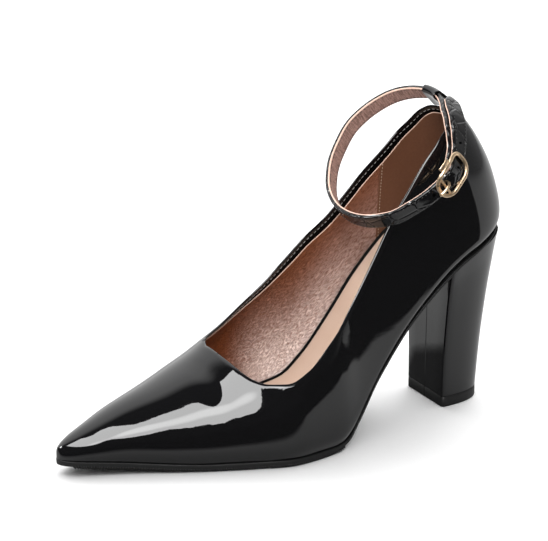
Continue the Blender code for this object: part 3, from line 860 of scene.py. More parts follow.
def painted_sheen_share(point):
    """How much painted sheen and light thrown up from the insole a place of the lining takes: most above the
    insole's edge, under the arch.
    """
    above = max(0.0, point.z - sole_top(point.y) - PAINTED_SHEEN_FROM)
    front = smooth_step((PAINTED_SHEEN_FRONT - point.y) / PAINTED_SHEEN_FRONT_FADE)
    back = smooth_step((point.y - GRIP_FRONT) / PAINTED_SHEEN_BACK_FADE)
    return (math.exp(-(above / PAINTED_SHEEN_HEIGHT) ** 2) * front
            * (PAINTED_SHEEN_BACK_SHARE + (1 - PAINTED_SHEEN_BACK_SHARE) * back))


# Each lining piece carries its share of painted sheen and bounced light as a point attribute.
for name, sheet, finish in (("lining", front_lining, lining_leather),
                            ("heel_grip", heel_grip, grip_leather)):
    made, faces, kinds = make_shell(sheet, lining_near, lining_near + LINING_WALL,
                                    LINING_RIM_STEPS, LINING_BULGE)
    add_piece(name, made, faces, [finish, raw_edge, finish], "upper", "patent_leather", kinds,
              features={"painted_sheen": [painted_sheen_share(point) for point in made]})


# Topline and heel grip stitching: waxed thread sewn through the folded edge, its black stitches painted grey
# for the glints of light along them, and pale thread that holds the heel grip's front edge.
STITCH_PITCH = 2.3
STITCH_LENGTH = 1.6
STITCH_RADIUS = 0.16
TOP_STITCH_INSET = 0.35
THREAD_REST = 0.05
GRIP_STITCH_BEHIND = 1.2

# Waxed thread: twisted polyester, smooth enough to catch a point of light on each stitch.
# The third thread's grey is a painted highlight: the topline's stitches are black, and the grey draws the
# glints along them.
threads = [grained_finish(name + " waxed thread", (code,), grain=0.3, depth=0.04, gloss=0.35)
           for name, code in (("black", "#1A1918"), ("pale", "#B49A86"), ("glint_painted", "#8A8784"))]


def stitch_tree(thread):
    """Stitches of one thread, end to end along a line."""
    tree, start, end = new_tree("stitches in " + thread.name, ("Pitch", "Length", "Radius"))
    spaced, tangent = even_steps(tree, start)
    bead = add_node(tree, "GeometryNodeMeshUVSphere", {"Segments": 6, "Rings": 4, "Radius": 1.0})
    turned = add_node(tree, "FunctionNodeAlignRotationToVector", {"Vector": tangent}, axis="Z")
    half = add_node(tree, "ShaderNodeMath", {0: start.outputs["Length"], 1: 0.5}, operation="MULTIPLY")
    radius = start.outputs["Radius"]
    end_tree(tree, end, spaced, bead, turned, (radius, radius, half), thread)
    return tree


black_stitches, pale_stitches, glint_painted_stitches = (stitch_tree(thread) for thread in threads)
top_stitch = {"Pitch": STITCH_PITCH * MM, "Length": STITCH_LENGTH * MM, "Radius": STITCH_RADIUS * MM}
top_row = [p - n * (PATENT_WALL + THREAD_REST) - up * TOP_STITCH_INSET
           for p, n, up in zip(collar_points, collar_normals, collar_up)]
# The topline row uses the grey thread, painted highlight on black stitches.
grow("topline_stitches", top_row, glint_painted_stitches, top_stitch, "upper", closed=True)

grip_stitch = {"Pitch": 1.5 * MM, "Length": 0.8 * MM, "Radius": 0.17 * MM}
seam_depth = lining_near + LINING_WALL + THREAD_REST
seam_points = {1: [], -1: []}
for point, normal in zip(heel_grip[0], heel_grip[1]):
    if abs(grip_front(point)) < 1e-4:
        seam_points[1 if point.x > 0 else -1].append(
            point - normal * seam_depth - Vector((0.0, GRIP_STITCH_BEHIND, 0.0)))
for sign, name in ((1, "outer"), (-1, "inner")):
    row = sorted(seam_points[sign], key=lambda point: point.z)
    grow("heel_grip_stitches_" + name, row, pale_stitches, grip_stitch, "upper")


# Insole: beige leather over a thin foam pad and board, laid in on the sole, its inner edge raised
# under the arch; a black binding is turned over its edge.
INSOLE_ROOM = 2.5
INSOLE_WALL_GAP = 2.6
INSOLE_LEAST_REACH = (0.4, 0.5)
INSOLE_CORNER = 1.1
INSOLE_PORE = 0.6
INSOLE_MOTTLE = 12.0
BINDING_RADIUS = 0.9
BINDING_SINK = 0.2
INSOLE_STATIONS = (30, 44, 12)
INSOLE_ROWS = (
    (0.00, 5.0, 2.0),
    (0.12, 6.0, 5.0),
    (0.22, 7.5, 7.3),
    (0.28, 7.5, 7.1),
    (0.33, 7.0, 4.8),
    (0.37, 6.4, 3.8),
    (0.42, 6.0, 3.6),
    (0.47, 5.0, 2.6),
    (0.50, 4.5, 1.8),
    (0.62, 3.5, 0.7),
    (0.80, 3.0, 0.0),
    (1.00, 3.0, 0.0),
)
INSOLE_THICKNESS, INSOLE_ARCH = (curve_through(INSOLE_ROWS, column) for column in (1, 2))

# Beige insole leather: smooth, soft finish with a very fine pore and slight mottling.
insole_leather, tree, shader, place = new_finish("beige insole leather")
pore = add_node(tree, "ShaderNodeTexNoise", {"Vector": place, "Scale": 1 / (INSOLE_PORE * MM), "Detail": 3.0})
mottle = add_node(tree, "ShaderNodeTexNoise", {"Vector": place, "Scale": 1 / (INSOLE_MOTTLE * MM)})
colour = add_node(tree, "ShaderNodeMix", {0: mottle, 6: linear("#AE9482"), 7: linear("#B69E8E")},
                  data_type="RGBA")
relief = add_node(tree, "ShaderNodeBump", {"Height": pore, "Distance": 0.05 * MM})
feed(tree, shader, {"Base Color": colour, "Roughness": 0.5, "Normal": relief})


def insole_heights(along, share):
    low = sole_top(along) + GAP
    return low, low + INSOLE_THICKNESS(along / SHOE_LENGTH) + INSOLE_ARCH(along / SHOE_LENGTH) * share ** 2


def insole_reach(along, swing, sign):
    """Under and over reach: the top follows the lining where the wall swells out above the sole."""
    low = feather_reach(along, swing, sign)
    reach = half_width(along, swing, sign)
    place = foot_point(along, swing, sign, low)[1]
    base, top = insole_heights(place, 0.0 if sign > 0 else 1.0)
    ridge = INSTEP_HEIGHT * outline("ridge", along)
    belly = min(BELLY_HEIGHT, BELLY_SHARE * (ridge - base))
    share = min(1.0, (top - base) / belly)
    return (max(INSOLE_LEAST_REACH[0], low - INSOLE_ROOM),
            max(INSOLE_LEAST_REACH[1], reach - (reach - low) * (1 - share) ** 2 - INSOLE_WALL_GAP))


insole_places = stations(*INSOLE_STATIONS)[4:-1]
insole_rings = [across_ring(along, swing, insole_reach, insole_heights, INSOLE_CORNER)
                for along, swing in insole_places]
insole = add_piece("insole_pad", *loft(insole_rings), [insole_leather], "insole", "insole_leather")


def tube(path, radius, sides=10, closed=False, flat=1.0, ups=None):
    """Rings of a round or flattened rod along a path; ups give the flattened direction."""
    rings = []
    count = len(path)
    for i, point in enumerate(path):
        before = path[i - 1] if i or closed else point
        ahead = path[(i + 1) % count] if i < count - 1 or closed else point
        flow = (ahead - before).normalized()
        up = ups[i] if ups else Vector((0.0, 0.0, 1.0))
        wide = flow.cross(up).normalized()
        up = wide.cross(flow)
        rings.append([point + (wide * math.cos(a) + up * (math.sin(a) * flat)) * radius
                      for a in (2 * math.pi * j / sides for j in range(sides))])
    return rings


def insole_edge(sign):
    edge = []
    for along, swing in insole_places:
        side, place = foot_point(along, swing, sign, insole_reach(along, swing, sign)[1])
        top = insole_heights(place, 0.0 if sign > 0 else 1.0)[1]
        edge.append(Vector((side, place, top - BINDING_SINK)))
    return edge


# Binding tape: black woven tape turned over the insole's edge, matt, with a fine rib across it.
binding_tape, tree, shader, place = new_finish("black woven binding tape")
weave = add_node(tree, "ShaderNodeTexWave", {"Vector": place, "Scale": 1 / (3.0 * MM), "Distortion": 1.0},
                 bands_direction="DIAGONAL")
relief = add_node(tree, "ShaderNodeBump", {"Height": weave.outputs["Fac"], "Distance": 0.05 * MM})
feed(tree, shader, {"Base Color": linear("#090909"), "Roughness": 0.8, "Specular IOR Level": 0.1,
                    "Normal": relief})

binding_path = insole_edge(1) + insole_edge(-1)[::-1]
add_piece("insole_binding", *loft(tube(binding_path, BINDING_RADIUS, closed=True), closed=True),
          [binding_tape], "insole", "insole_leather")


# Ankle strap: one length of patent leather backed with pink suede, its edges left raw and its two
# rows of stitching close to them; it runs through the back loop and on through the buckle.
RING_CENTRE = Vector((0.0, 52.5, 127.0))
RING_PITCH = 0.80
RING_ROLL = 0.13
RING_ROWS = (
    (-180.0, 39.8, 0.0, 0.0),
    (-160.0, 37.5, 0.0, 0.0),
    (-140.0, 35.4, 0.0, 0.0),
    (-115.0, 34.6, 0.0, 0.0),
    (-90.0, 36.0, 0.0, 0.0),
    (-60.0, 35.7, 0.0, 0.0),
    (-30.0, 33.4, 0.0, 0.05),
    (-10.0, 31.6, 0.3, 0.20),
    (10.0, 29.3, 2.3, 0.35),
    (27.0, 28.1, 3.8, 0.42),
    (45.0, 28.9, 4.1, 0.40),
    (60.0, 30.5, 3.1, 0.28),
    (75.0, 33.3, 1.5, 0.12),
    (90.0, 35.8, 0.5, 0.0),
    (105.0, 36.6, 0.0, 0.0),
    (120.0, 38.2, 0.0, 0.0),
    (137.0, 41.5, 0.2, 0.0),
    (150.0, 41.7, 0.0, 0.0),
    (165.0, 41.0, 0.0, 0.0),
    (180.0, 39.8, 0.0, 0.0),
)
RING_RADIUS = 36.0
STRAP_WIDTH = 7.8
STRAP_THICKNESS = 2.2
STRAP_CORNER = 0.45
STRAP_START_TURN = 82.0
STRAP_END_TURN = -353.0
STRAP_STEPS = 420
TIP_TURN = 9.0
TIP_ANGLE = 1.45
TIP_STEPS = 12
LAYER_RAMP_START = -208.0
LAYER_RAMP_END = -256.0
LAYER_STEP = STRAP_THICKNESS + 0.6
BUCKLE_TURN = 87.0
BAR_SWELL = 1.7
BAR_SWELL_TURN = 14.0
EDGE_SHARE = 0.30
STRAP_STITCH_INSET = 1.0
STRAP_STITCH_REST = 0.02
STRAP_STITCH_START = 80.0
STRAP_STITCH_STEPS = 300
RING_NORMAL = Vector((RING_ROLL, RING_PITCH, 1.0)).normalized()
RING_ACROSS = (Vector((1.0, 0.0, 0.0)) - RING_NORMAL * RING_NORMAL.x).normalized()
RING_DOWN = RING_NORMAL.cross(RING_ACROSS)
RING_READ, RING_LIFT, RING_LEAN = (curve_through(RING_ROWS, column) for column in (1, 2, 3))

# Pink suede: the brushed flesh side of the lining; short nap lying in fine cross ribs, quite matt.
SUEDE_RIB = 1.0
SUEDE_NAP = 0.5
strap_suede, tree, shader, run = new_finish("pink suede backing", "run")
ribbed = add_node(tree, "ShaderNodeMapping", {"Vector": run, "Scale": (1.0, 0.16, 1.0)})
rib = add_node(tree, "ShaderNodeTexNoise", {"Vector": ribbed, "Scale": 1 / (SUEDE_RIB * MM),
                                            "Roughness": 0.6})
nap = add_node(tree, "ShaderNodeTexNoise", {"Vector": run, "Scale": 1 / (SUEDE_NAP * MM), "Detail": 3.0})
tone = add_node(tree, "ShaderNodeMath", {0: rib, 1: nap}, operation="ADD")
shade = add_node(tree, "ShaderNodeMapRange", {"Value": tone, "From Min": 0.7, "From Max": 1.3})
colour = add_node(tree, "ShaderNodeMix", {0: shade, 6: linear("#5C4138"), 7: linear("#AB877B")},
                  data_type="RGBA")
relief = add_node(tree, "ShaderNodeBump", {"Height": tone, "Distance": 0.15 * MM})
feed(tree, shader, {"Base Color": colour, "Roughness": 0.85, "Normal": relief})

# Strap patent: the same lacquered leather, creased into small flat panes where the strap is bent.
CREASE_PANE = 8.0
CREASE_TILT = 6.0
strap_patent, tree, shader, run = new_finish("creased black patent leather", "run")
pane = add_node(tree, "ShaderNodeTexVoronoi", {"Vector": run, "Scale": 1 / (CREASE_PANE * MM),
                                               "Randomness": 0.9}, feature="DISTANCE_TO_EDGE")
trough = add_node(tree, "ShaderNodeMapRange", {"Value": pane, "From Max": 0.09},
                  interpolation_type="SMOOTHSTEP")
tilt = add_node(tree, "ShaderNodeTexNoise", {"Vector": run, "Scale": 1 / (CREASE_TILT * MM), "Detail": 1.0})
tilt_bump = add_node(tree, "ShaderNodeBump", {"Height": tilt, "Distance": 0.35 * MM})
crease_bump = add_node(tree, "ShaderNodeBump", {"Height": trough, "Distance": 0.16 * MM,
                                                "Normal": tilt_bump})
lacquer(tree, shader, crease_bump, coat_roughness=0.04)


def ring_point(turn, radial, across):
    """A place beside the strap's middle line: outward from it and across its width."""
    angle = math.radians(turn)
    key = (turn + 180.0) % 360.0 - 180.0
    radius = RING_READ(key) + radial - RING_LEAN(key) * across
    return (RING_CENTRE - RING_DOWN * (radius * math.cos(angle)) + RING_ACROSS * (radius * math.sin(angle))
            + RING_NORMAL * (across + RING_LIFT(key)))


def strap_layer(turn):
    """How far the strap lies outside its first layer, with a swell over the buckle's bar."""
    step = LAYER_STEP * smooth_step((LAYER_RAMP_START - turn) / (LAYER_RAMP_START - LAYER_RAMP_END))
    off = (turn - (BUCKLE_TURN - 360.0)) / BAR_SWELL_TURN
    return step + BAR_SWELL * smooth_step(1 - abs(off))


def strap_section():
    """Points round the strap's section as outward and across, and the finish of the face after each."""
    half, thick, corner = STRAP_WIDTH / 2, STRAP_THICKNESS / 2, STRAP_CORNER
    split = -thick + STRAP_THICKNESS * EDGE_SHARE
    rounds = [math.pi / 2 * i / 4 for i in range(5)]
    section = [(thick - corner + corner * math.cos(a), half - corner + corner * math.sin(a), 0)
               for a in rounds]
    section += [(split, half, 1)]
    section += [(-thick + corner * (1 - math.sin(a)), half - corner * (1 - math.cos(a)), 1)
                for a in rounds[:-1]]
    section += [(-thick, (half - corner) * (1 - i / 3), 2) for i in range(7)]
    section += [(-thick + corner * (1 - math.cos(a)), -half + corner * (1 - math.sin(a)), 1)
                for a in rounds[1:]]
    section += [(split, -half, 0)]
    section += [(thick - corner * (1 - math.sin(a)), -half + corner * (1 - math.cos(a)), 0)
                for a in rounds]
    section += [(thick, (half - corner) * (-1 + i / 3), 0) for i in range(1, 6)]
    return section


section = strap_section()
strap_body_end = STRAP_END_TURN + TIP_TURN
strap_places = [(STRAP_START_TURN + (strap_body_end - STRAP_START_TURN) * i / STRAP_STEPS, 1.0)
                for i in range(STRAP_STEPS + 1)]
strap_places += [(strap_body_end - TIP_TURN * math.sin(a), math.cos(a))
                 for a in (TIP_ANGLE * i / TIP_STEPS for i in range(1, TIP_STEPS + 1))]
strap_rings = [[ring_point(turn, strap_layer(turn) + out, across * share) for out, across, _ in section]
               for turn, share in strap_places]
made, faces = loft(strap_rings)
kinds = [section[i % len(section)][2] for i in range(len(faces) - 2)] + [0, 0]
strap_run = [Vector((math.radians(turn) * RING_RADIUS, across * share, out)) * MM
             for turn, share in strap_places for out, across, _ in section]
add_piece("strap_leather", made, faces, [strap_patent, raw_edge, strap_suede],
          "ankle_strap", "patent_leather", kinds, features={"run": strap_run})

strap_stitch = {"Pitch": 2.0 * MM, "Length": 1.4 * MM, "Radius": 0.17 * MM}
for name, face, last_turn in (("outside", 1, -340.0), ("inside", -1, -225.0)):
    level = face * (STRAP_THICKNESS / 2 + STRAP_STITCH_REST)
    turns = [STRAP_STITCH_START + (last_turn - STRAP_STITCH_START) * i / STRAP_STITCH_STEPS
             for i in range(STRAP_STITCH_STEPS + 1)]
    for edge, sign in (("upper", 1), ("lower", -1)):
        row = [ring_point(turn, strap_layer(turn) + level, sign * (STRAP_WIDTH / 2 - STRAP_STITCH_INSET))
               for turn in turns]
        grow(f"strap_stitches_{name}_{edge}", row, black_stitches, strap_stitch,
             "ankle_strap")


# Strap holes, punched through the tail of the strap: each is drawn as a thin near-black disc on its face,
# painted shade for the hole's depth; they lie in a row along its middle, ahead of the buckle, inside its
# frame and behind it.
HOLE_RADIUS = 0.95
HOLE_TURNS = (106.0, 94.0, 82.5, 64.0)
HOLE_STAND = 0.08

# Painted shade of the open hole: near-black, dull and nearly without light.
hole_shade = grained_finish("painted black hole shade", ("#010101", "#060606"), grain=0.4, depth=0.0,
                           gloss=1.0, others={"Specular IOR Level": 0.0})

tree, start, end = new_tree("punched holes", ("Radius", "Height"))
disc = add_node(tree, "GeometryNodeMeshCylinder", {"Vertices": 16, "Radius": 1.0, "Depth": 1.0})
outward = add_node(tree, "GeometryNodeInputNamedAttribute", {"Name": "outward"}, data_type="FLOAT_VECTOR")
turned = add_node(tree, "FunctionNodeAlignRotationToVector", {"Vector": outward}, axis="Z")
radius = start.outputs["Radius"]
end_tree(tree, end, start.outputs["Geometry"], disc, turned,
         (radius, radius, start.outputs["Height"]), hole_shade)
hole_places, hole_ways = [], []
for turn in HOLE_TURNS:
    face = strap_layer(turn - 360.0) + STRAP_THICKNESS / 2
    hole_places.append(ring_point(turn, face, 0.0))
    hole_ways.append((to_world(ring_point(turn, face + 1, 0.0)) - to_world(hole_places[-1])).normalized())
grow("strap_holes", hole_places, tree, {"Radius": HOLE_RADIUS * MM, "Height": HOLE_STAND * MM},
     "ankle_strap", features={"outward": hole_ways})


# Back loop: a strip of patent leather folded into a flat tube, sewn to the collar at the back so
# that the strap can slide through it.
LOOP_TURN = -13.0
LOOP_WIDTH = 12.0
LOOP_WALL = 0.9
LOOP_ROOM = 0.35
LOOP_FOOT = 3.5
LOOP_CORNER = 2.2
LOOP_EDGE_SHARE = 0.12
LOOP_STEPS = 24
LOOP_CORNER_STEPS = 8


def rounded_box(length, width, corner, steps):
    """Points round a rectangle with rounded corners, about its centre."""
    points = []
    for i, (x, y) in enumerate(((1, 1), (-1, 1), (-1, -1), (1, -1))):
        for j in range(steps + 1):
            angle = math.pi / 2 * (i + j / steps)
            points.append((x * (length / 2 - corner) + corner * math.cos(angle),
                           y * (width / 2 - corner) + corner * math.sin(angle)))
    return points


loop_wide = STRAP_WIDTH / 2 + LOOP_ROOM
loop_thick = STRAP_THICKNESS / 2 + LOOP_ROOM
loop_inside = rounded_box(2 * loop_thick, 2 * loop_wide, LOOP_ROOM, LOOP_CORNER_STEPS)
loop_outside = rounded_box(2 * (loop_thick + LOOP_WALL), 2 * (loop_wide + LOOP_WALL), LOOP_CORNER,
                           LOOP_CORNER_STEPS)
loop_outside = [(out, across if across > 0 else across - LOOP_FOOT) for out, across in loop_outside]
loop_spread = math.degrees(LOOP_WIDTH / 2 / RING_RADIUS)
loop_rings = []
for (inside, low), (outside, high) in zip(loop_inside, loop_outside):
    upper_side, under_side = [], []
    for i in range(LOOP_STEPS + 1):
        share = 2 * i / LOOP_STEPS - 1
        off = max(0.0, (abs(share) - 1 + LOOP_EDGE_SHARE) / LOOP_EDGE_SHARE)
        full = math.sqrt(max(0.02, 1 - off * off))
        turn = LOOP_TURN + loop_spread * share
        for line, t in ((under_side, 0.5 - 0.5 * full), (upper_side, 0.5 + 0.5 * full)):
            line.append(ring_point(turn, inside + (outside - inside) * t, low + (high - low) * t))
    loop_rings.append(under_side + upper_side[::-1])
add_piece("loop_leather", *loft(loop_rings, closed=True), [patent], "back_loop", "patent_leather")


# Buckle: cast frame, centre bar and prong, plated pale gold and polished; the bar sits in the fold
# of the strap and the prong turns on it.
BUCKLE_LENGTH = 16.8
BUCKLE_SHIFT = 0.6
BUCKLE_CORNER = 5.2
BUCKLE_CORNER_STEPS = 14
WIRE_RADIUS = 0.95
BAR_RADIUS = 0.8
FRAME_ROOM = 1.5
FRAME_SAG = 0.5
PRONG_RADIUS = 0.7
PRONG_CURVE = 0.4
PRONG_TIP = 1.2
HOLE_AHEAD = 3.6
RAIL_INSET = 2.9
RAIL_RADIUS = 0.6
RAIL_SINK = 0.1
LUG_AHEAD = 0.8
LUG_LENGTH = 5.4
LUG_REACH = 1.7
LUG_RADIUS = 1.4
LUG_FLAT = 0.35
LUG_SINK = 0.5
WIRE_FLAT = 0.85
BAR_BEND = 0.5
FRAME_OUT = LAYER_STEP + STRAP_THICKNESS / 2 + GAP + WIRE_RADIUS
FRAME_HALF = STRAP_WIDTH / 2 + FRAME_ROOM + WIRE_RADIUS
BAR_OUT = LAYER_STEP + BAR_SWELL - STRAP_THICKNESS / 2 - GAP - BAR_RADIUS

# Pale gold plating: polished metal with faint casting ripple and a little rubbed variation in gloss.
buckle_gold = grained_finish("pale gold plated metal", ("#F0D2AE",), grain=1.5, depth=0.04,
                             gloss=(0.26, 0.40), others={"Metallic": 1.0})


def buckle_place(ahead, out, across):
    """A place on the buckle: ahead of its bar toward the front, out from the strap, across it."""
    return ring_point(BUCKLE_TURN + math.degrees((ahead + BUCKLE_SHIFT) / RING_RADIUS), out, across)


def outward_at(path):
    """Directions out of the strap ring at points of a path."""
    return [((point - RING_CENTRE) - RING_NORMAL * (point - RING_CENTRE).dot(RING_NORMAL)).normalized()
            for point in path]


def along_ups(path, out):
    """The buckle's length direction, for each point of a path across it."""
    return [(buckle_place(2.0, out, 0.0) - buckle_place(-2.0, out, 0.0)).normalized()] * len(path)


def add_gold(name, path, radius, sides, closed, flat, ups, node):
    """A gold rod along a path."""
    add_piece(name, *loft(tube(path, radius, sides, closed, flat, ups), closed=closed), [buckle_gold],
              node, "buckle_metal")


frame_path = [buckle_place(ahead, FRAME_OUT, across)
              for ahead, across in rounded_box(BUCKLE_LENGTH, 2 * FRAME_HALF, BUCKLE_CORNER,
                                              BUCKLE_CORNER_STEPS)]
add_gold("gold_frame", frame_path, WIRE_RADIUS, 16, True, WIRE_FLAT, outward_at(frame_path), "buckle_frame")

rail_path = [buckle_place(BUCKLE_LENGTH / 2 - RAIL_INSET, FRAME_OUT - RAIL_SINK, FRAME_HALF * share)
             for share in (-1.0, -0.5, 0.0, 0.5, 1.0)]
rail_ups = along_ups(rail_path, FRAME_OUT)
add_gold("gold_rail", rail_path, RAIL_RADIUS, 14, False, 1.0, rail_ups, "buckle_frame")

lug_path = [buckle_place(LUG_AHEAD + LUG_LENGTH * share, FRAME_OUT - LUG_SINK, FRAME_HALF + LUG_REACH)
            for share in (-0.5, -0.4, -0.2, 0.0, 0.2, 0.4, 0.5)]
add_gold("gold_lug", lug_path, LUG_RADIUS, 14, False, LUG_FLAT, outward_at(lug_path), "buckle_frame")

bar_top = FRAME_OUT - FRAME_SAG - WIRE_RADIUS
bar_half = [(bar_top, FRAME_HALF), (BAR_OUT + BAR_BEND, FRAME_HALF), (BAR_OUT, FRAME_HALF - BAR_BEND)]
bar_path = [buckle_place(0.0, out, -across) for out, across in bar_half]
bar_path += [buckle_place(0.0, out, across) for out, across in reversed(bar_half)]
add_gold("gold_bar", bar_path, BAR_RADIUS, 16, False, 1.0, along_ups(bar_path, BAR_OUT), "buckle_bar")

strap_face = LAYER_STEP + BAR_SWELL + STRAP_THICKNESS / 2
prong_rest = FRAME_OUT + WIRE_RADIUS + GAP + PRONG_RADIUS
prong_front = BUCKLE_LENGTH / 2
prong_path = [buckle_place(ahead, out, 0.0) for ahead, out in (
    (HOLE_AHEAD - PRONG_CURVE, BAR_OUT + PRONG_CURVE),
    (HOLE_AHEAD, strap_face - PRONG_CURVE),
    (HOLE_AHEAD + PRONG_RADIUS, strap_face + 0.75 * PRONG_RADIUS),
    (HOLE_AHEAD + 2.2 * PRONG_RADIUS, strap_face + GAP + PRONG_RADIUS),
    ((HOLE_AHEAD + prong_front) / 2, (strap_face + prong_rest) / 2 + 0.6 * PRONG_RADIUS),
    (prong_front - PRONG_TIP, prong_rest), (prong_front, prong_rest + 0.05),
    (prong_front + PRONG_TIP, prong_rest - 0.1))]
prong_ups = [RING_NORMAL] * len(prong_path)
add_gold("gold_prong", prong_path, PRONG_RADIUS, 14, False, 1.0, prong_ups, "buckle_prong")


# Floor: a wide sheet of pale matt card that the shoe stands on. For mirror rays only, shade is painted
# on it beyond border lines on the outer side and under the arch, so the patent falls dark there.
FLOOR_HALF = 4.0
FLOOR_SOFT = 0.014
FLOOR_NEAR_BORDER = (53.0, 0.0736)
FLOOR_SIDE_BORDER = (90.0, 0.1235)
FLOOR_BACK_BORDER = (48.5, -0.0845)
FLOOR_REAR_CORNER = (0.085, 0.148)
FLOOR_UNLIT = 0.08
MIRRORED_DIM = 0.41
ARCH_MIDDLE = (-0.020, 0.055, 0.0)
ARCH_REACH = (0.028, 0.062)
ARCH_SHADE = 0.95


def from_shoe(azimuth, elevation, distance=1.0):
    """A place seen from the shoe: azimuth from the toe's direction toward the outer side."""
    turn, climb = math.radians(azimuth), math.radians(elevation)
    return Vector((math.sin(turn) * math.cos(climb), -math.cos(turn) * math.cos(climb),
                   math.sin(climb))) * distance


floor_card = grained_finish("pale matt card", ("#F6F6F6", "#F9F9F9"), grain=2.0, depth=0.0, gloss=0.9,
                            others={"Specular IOR Level": 0.1})
tree = floor_card.node_tree
place = add_node(tree, "ShaderNodeTexCoord").outputs["Object"]
spot = add_node(tree, "ShaderNodeSeparateXYZ", {"Vector": place})
borders = [(spot.outputs[axis], off) for axis, off in zip("XY", FLOOR_REAR_CORNER)]
for azimuth, off in (FLOOR_NEAR_BORDER, FLOOR_SIDE_BORDER, FLOOR_BACK_BORDER):
    ahead = add_node(tree, "ShaderNodeVectorMath", {0: place, 1: from_shoe(azimuth, 0.0)},
                     operation="DOT_PRODUCT")
    borders.append((ahead, off))
rear_outer, rear_back, near, side, back = (
    add_node(tree, "ShaderNodeMapRange", {"Value": ahead, "From Min": off - FLOOR_SOFT,
                                          "From Max": off + FLOOR_SOFT}, interpolation_type="SMOOTHSTEP")
    for ahead, off in borders)
under = add_node(tree, "ShaderNodeVectorMath", {0: place, 1: ARCH_MIDDLE}, operation="DISTANCE")
arch = add_node(tree, "ShaderNodeMapRange",
                {"Value": under, "From Min": ARCH_REACH[0], "From Max": ARCH_REACH[1],
                 "To Min": ARCH_SHADE, "To Max": 0.0}, interpolation_type="SMOOTHSTEP")
mirrored = add_node(tree, "ShaderNodeLightPath").outputs["Is Glossy Ray"]
# Painted shade for mirror rays only: beyond the border lines and under the arch the card gives way to a faint
# even glow.
shade = rear_outer
for value, operation in ((rear_back, "MINIMUM"), (near, "MAXIMUM"), (side, "MAXIMUM"), (arch, "MAXIMUM"),
                         (back, "MINIMUM"), (MIRRORED_DIM, "MAXIMUM"), (mirrored, "MULTIPLY")):
    shade = add_node(tree, "ShaderNodeMath", {0: shade, 1: value}, operation=operation)
unlit = add_node(tree, "ShaderNodeEmission", {"Color": linear("#FFFFFF"), "Strength": FLOOR_UNLIT})
card = add_node(tree, "ShaderNodeMixShader", {0: shade, 1: tree.nodes["Principled BSDF"].outputs["BSDF"],
                                              2: unlit})
feed(tree, tree.nodes["Material Output"], {"Surface": card})
corners = [(x * FLOOR_HALF, y * FLOOR_HALF, 0.0) for x, y in ((-1, -1), (1, -1), (1, 1), (-1, 1))]
floor_mesh = bpy.data.meshes.new("floor")
floor_mesh.from_pydata(corners, [], [(0, 1, 2, 3)])
floor_mesh.materials.append(floor_card)
floor = new_object("floor", floor_mesh)


# Light: a long tilted strip box over the toe's outer side draws the vamp's highlight and a small front
# box its glint, both kept off the floor; two boxes that mirrors don't see light the floor from above
# and behind; round them is a dim room with a few pale zones.
LIGHT_ROWS = (  # name, azimuth, elevation, distance, width, height, tilt, radiance
    ("strip_box", 41.9, 48.4, 2.2, 0.66, 3.5, 50.9, 11.6),
    ("back_box", -142.0, 54.0, 2.2, 0.9, 0.9, 0.0, 3.0),
    ("front_box", -40.0, 36.5, 2.2, 0.5, 0.4, 0.0, 25.0),
    ("over_box", -120.0, 86.0, 1.6, 3.2, 3.2, 0.0, 1.9),
)
MIRRORED_BOXES = ("strip_box", "front_box")
ROOM_GLOW = 0.10
ROOM_SEEN = 0.94
ROOM_ZONES = (  # azimuth, elevation, cosines where a zone starts and is full, radiance
    (-175.0, 0.0, 0.45, 0.75, 0.25),
    (-104.0, 32.0, 0.64, 0.86, 1.38),
    (62.0, 38.0, 0.983, 0.999, 5.0),
)
kept_off = bpy.data.collections.new("kept off by flags")
kept_off.objects.link(floor)
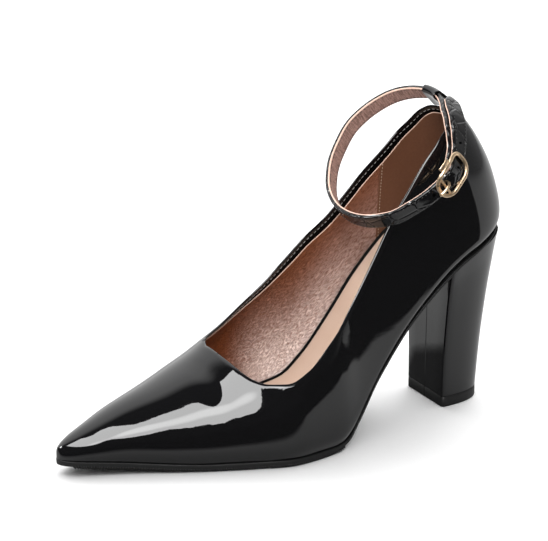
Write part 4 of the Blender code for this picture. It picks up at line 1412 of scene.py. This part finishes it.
for name, azimuth, elevation, distance, width, height, tilt, radiance in LIGHT_ROWS:
    lamp = bpy.data.lights.new(name, "AREA")
    lamp.shape = "RECTANGLE"
    lamp.size, lamp.size_y = width, height
    lamp.energy = math.pi * width * height * radiance
    box = new_object(name, lamp)
    box.location = from_shoe(azimuth, elevation, distance)
    box.rotation_euler = (-box.location).to_track_quat("-Z", "Y").to_euler()
    box.rotation_euler.rotate_axis("Z", math.radians(tilt))
    if name in MIRRORED_BOXES:
        box.light_linking.receiver_collection = kept_off
    else:
        box.visible_glossy = False
kept_off.collection_objects[0].light_linking.link_state = "EXCLUDE"
room = bpy.data.worlds.new("dim room")
room.use_nodes = True
tree = room.node_tree
look = add_node(tree, "ShaderNodeTexCoord").outputs["Generated"]
glow = ROOM_GLOW
for azimuth, elevation, start, full, radiance in ROOM_ZONES:
    facing = add_node(tree, "ShaderNodeVectorMath", {0: look, 1: from_shoe(azimuth, elevation)},
                      operation="DOT_PRODUCT")
    zone = add_node(tree, "ShaderNodeMapRange", {"Value": facing, "From Min": start,
                                                 "From Max": full, "To Max": radiance},
                    interpolation_type="SMOOTHSTEP")
    glow = add_node(tree, "ShaderNodeMath", {0: zone, 1: glow}, operation="ADD")
seen = add_node(tree, "ShaderNodeLightPath").outputs["Is Camera Ray"]
shown = add_node(tree, "ShaderNodeMix", {0: seen, 2: glow, 3: ROOM_SEEN})
feed(tree, tree.nodes["Background"], {"Color": linear("#FFFFFF"), "Strength": shown})
bpy.context.scene.world = room
bpy.context.scene.view_settings.view_transform = "Standard"


# Camera: at the photograph's angle, from the toe's outer side and a little above; the shift sets
# the shoe in the picture as it stands in the photograph.
CAMERA_AZIMUTH = 60.2
CAMERA_ELEVATION = 20.6
CAMERA_DISTANCE = 1300.0
CAMERA_AIM = Vector((0.0, 115.0, 65.0))
CAMERA_SHIFT = Vector((-3.4, 13.0, 0.0))
SENSOR = 36.0
FOCUS_PIXELS = 2853.0
PHOTO_WIDTH = 548.0
back = from_shoe(CAMERA_AZIMUTH, CAMERA_ELEVATION)
turn = back.to_track_quat("Z", "Y")
camera_data = bpy.data.cameras.new("camera")
camera_data.sensor_fit = "HORIZONTAL"
camera_data.sensor_width = SENSOR
camera_data.lens = FOCUS_PIXELS / PHOTO_WIDTH * SENSOR
camera_data.clip_end = 20.0
camera = new_object("camera", camera_data)
camera.location = to_world(CAMERA_AIM) + (turn @ CAMERA_SHIFT + back * CAMERA_DISTANCE) * MM
camera.rotation_euler = turn.to_euler()
bpy.context.scene.camera = camera
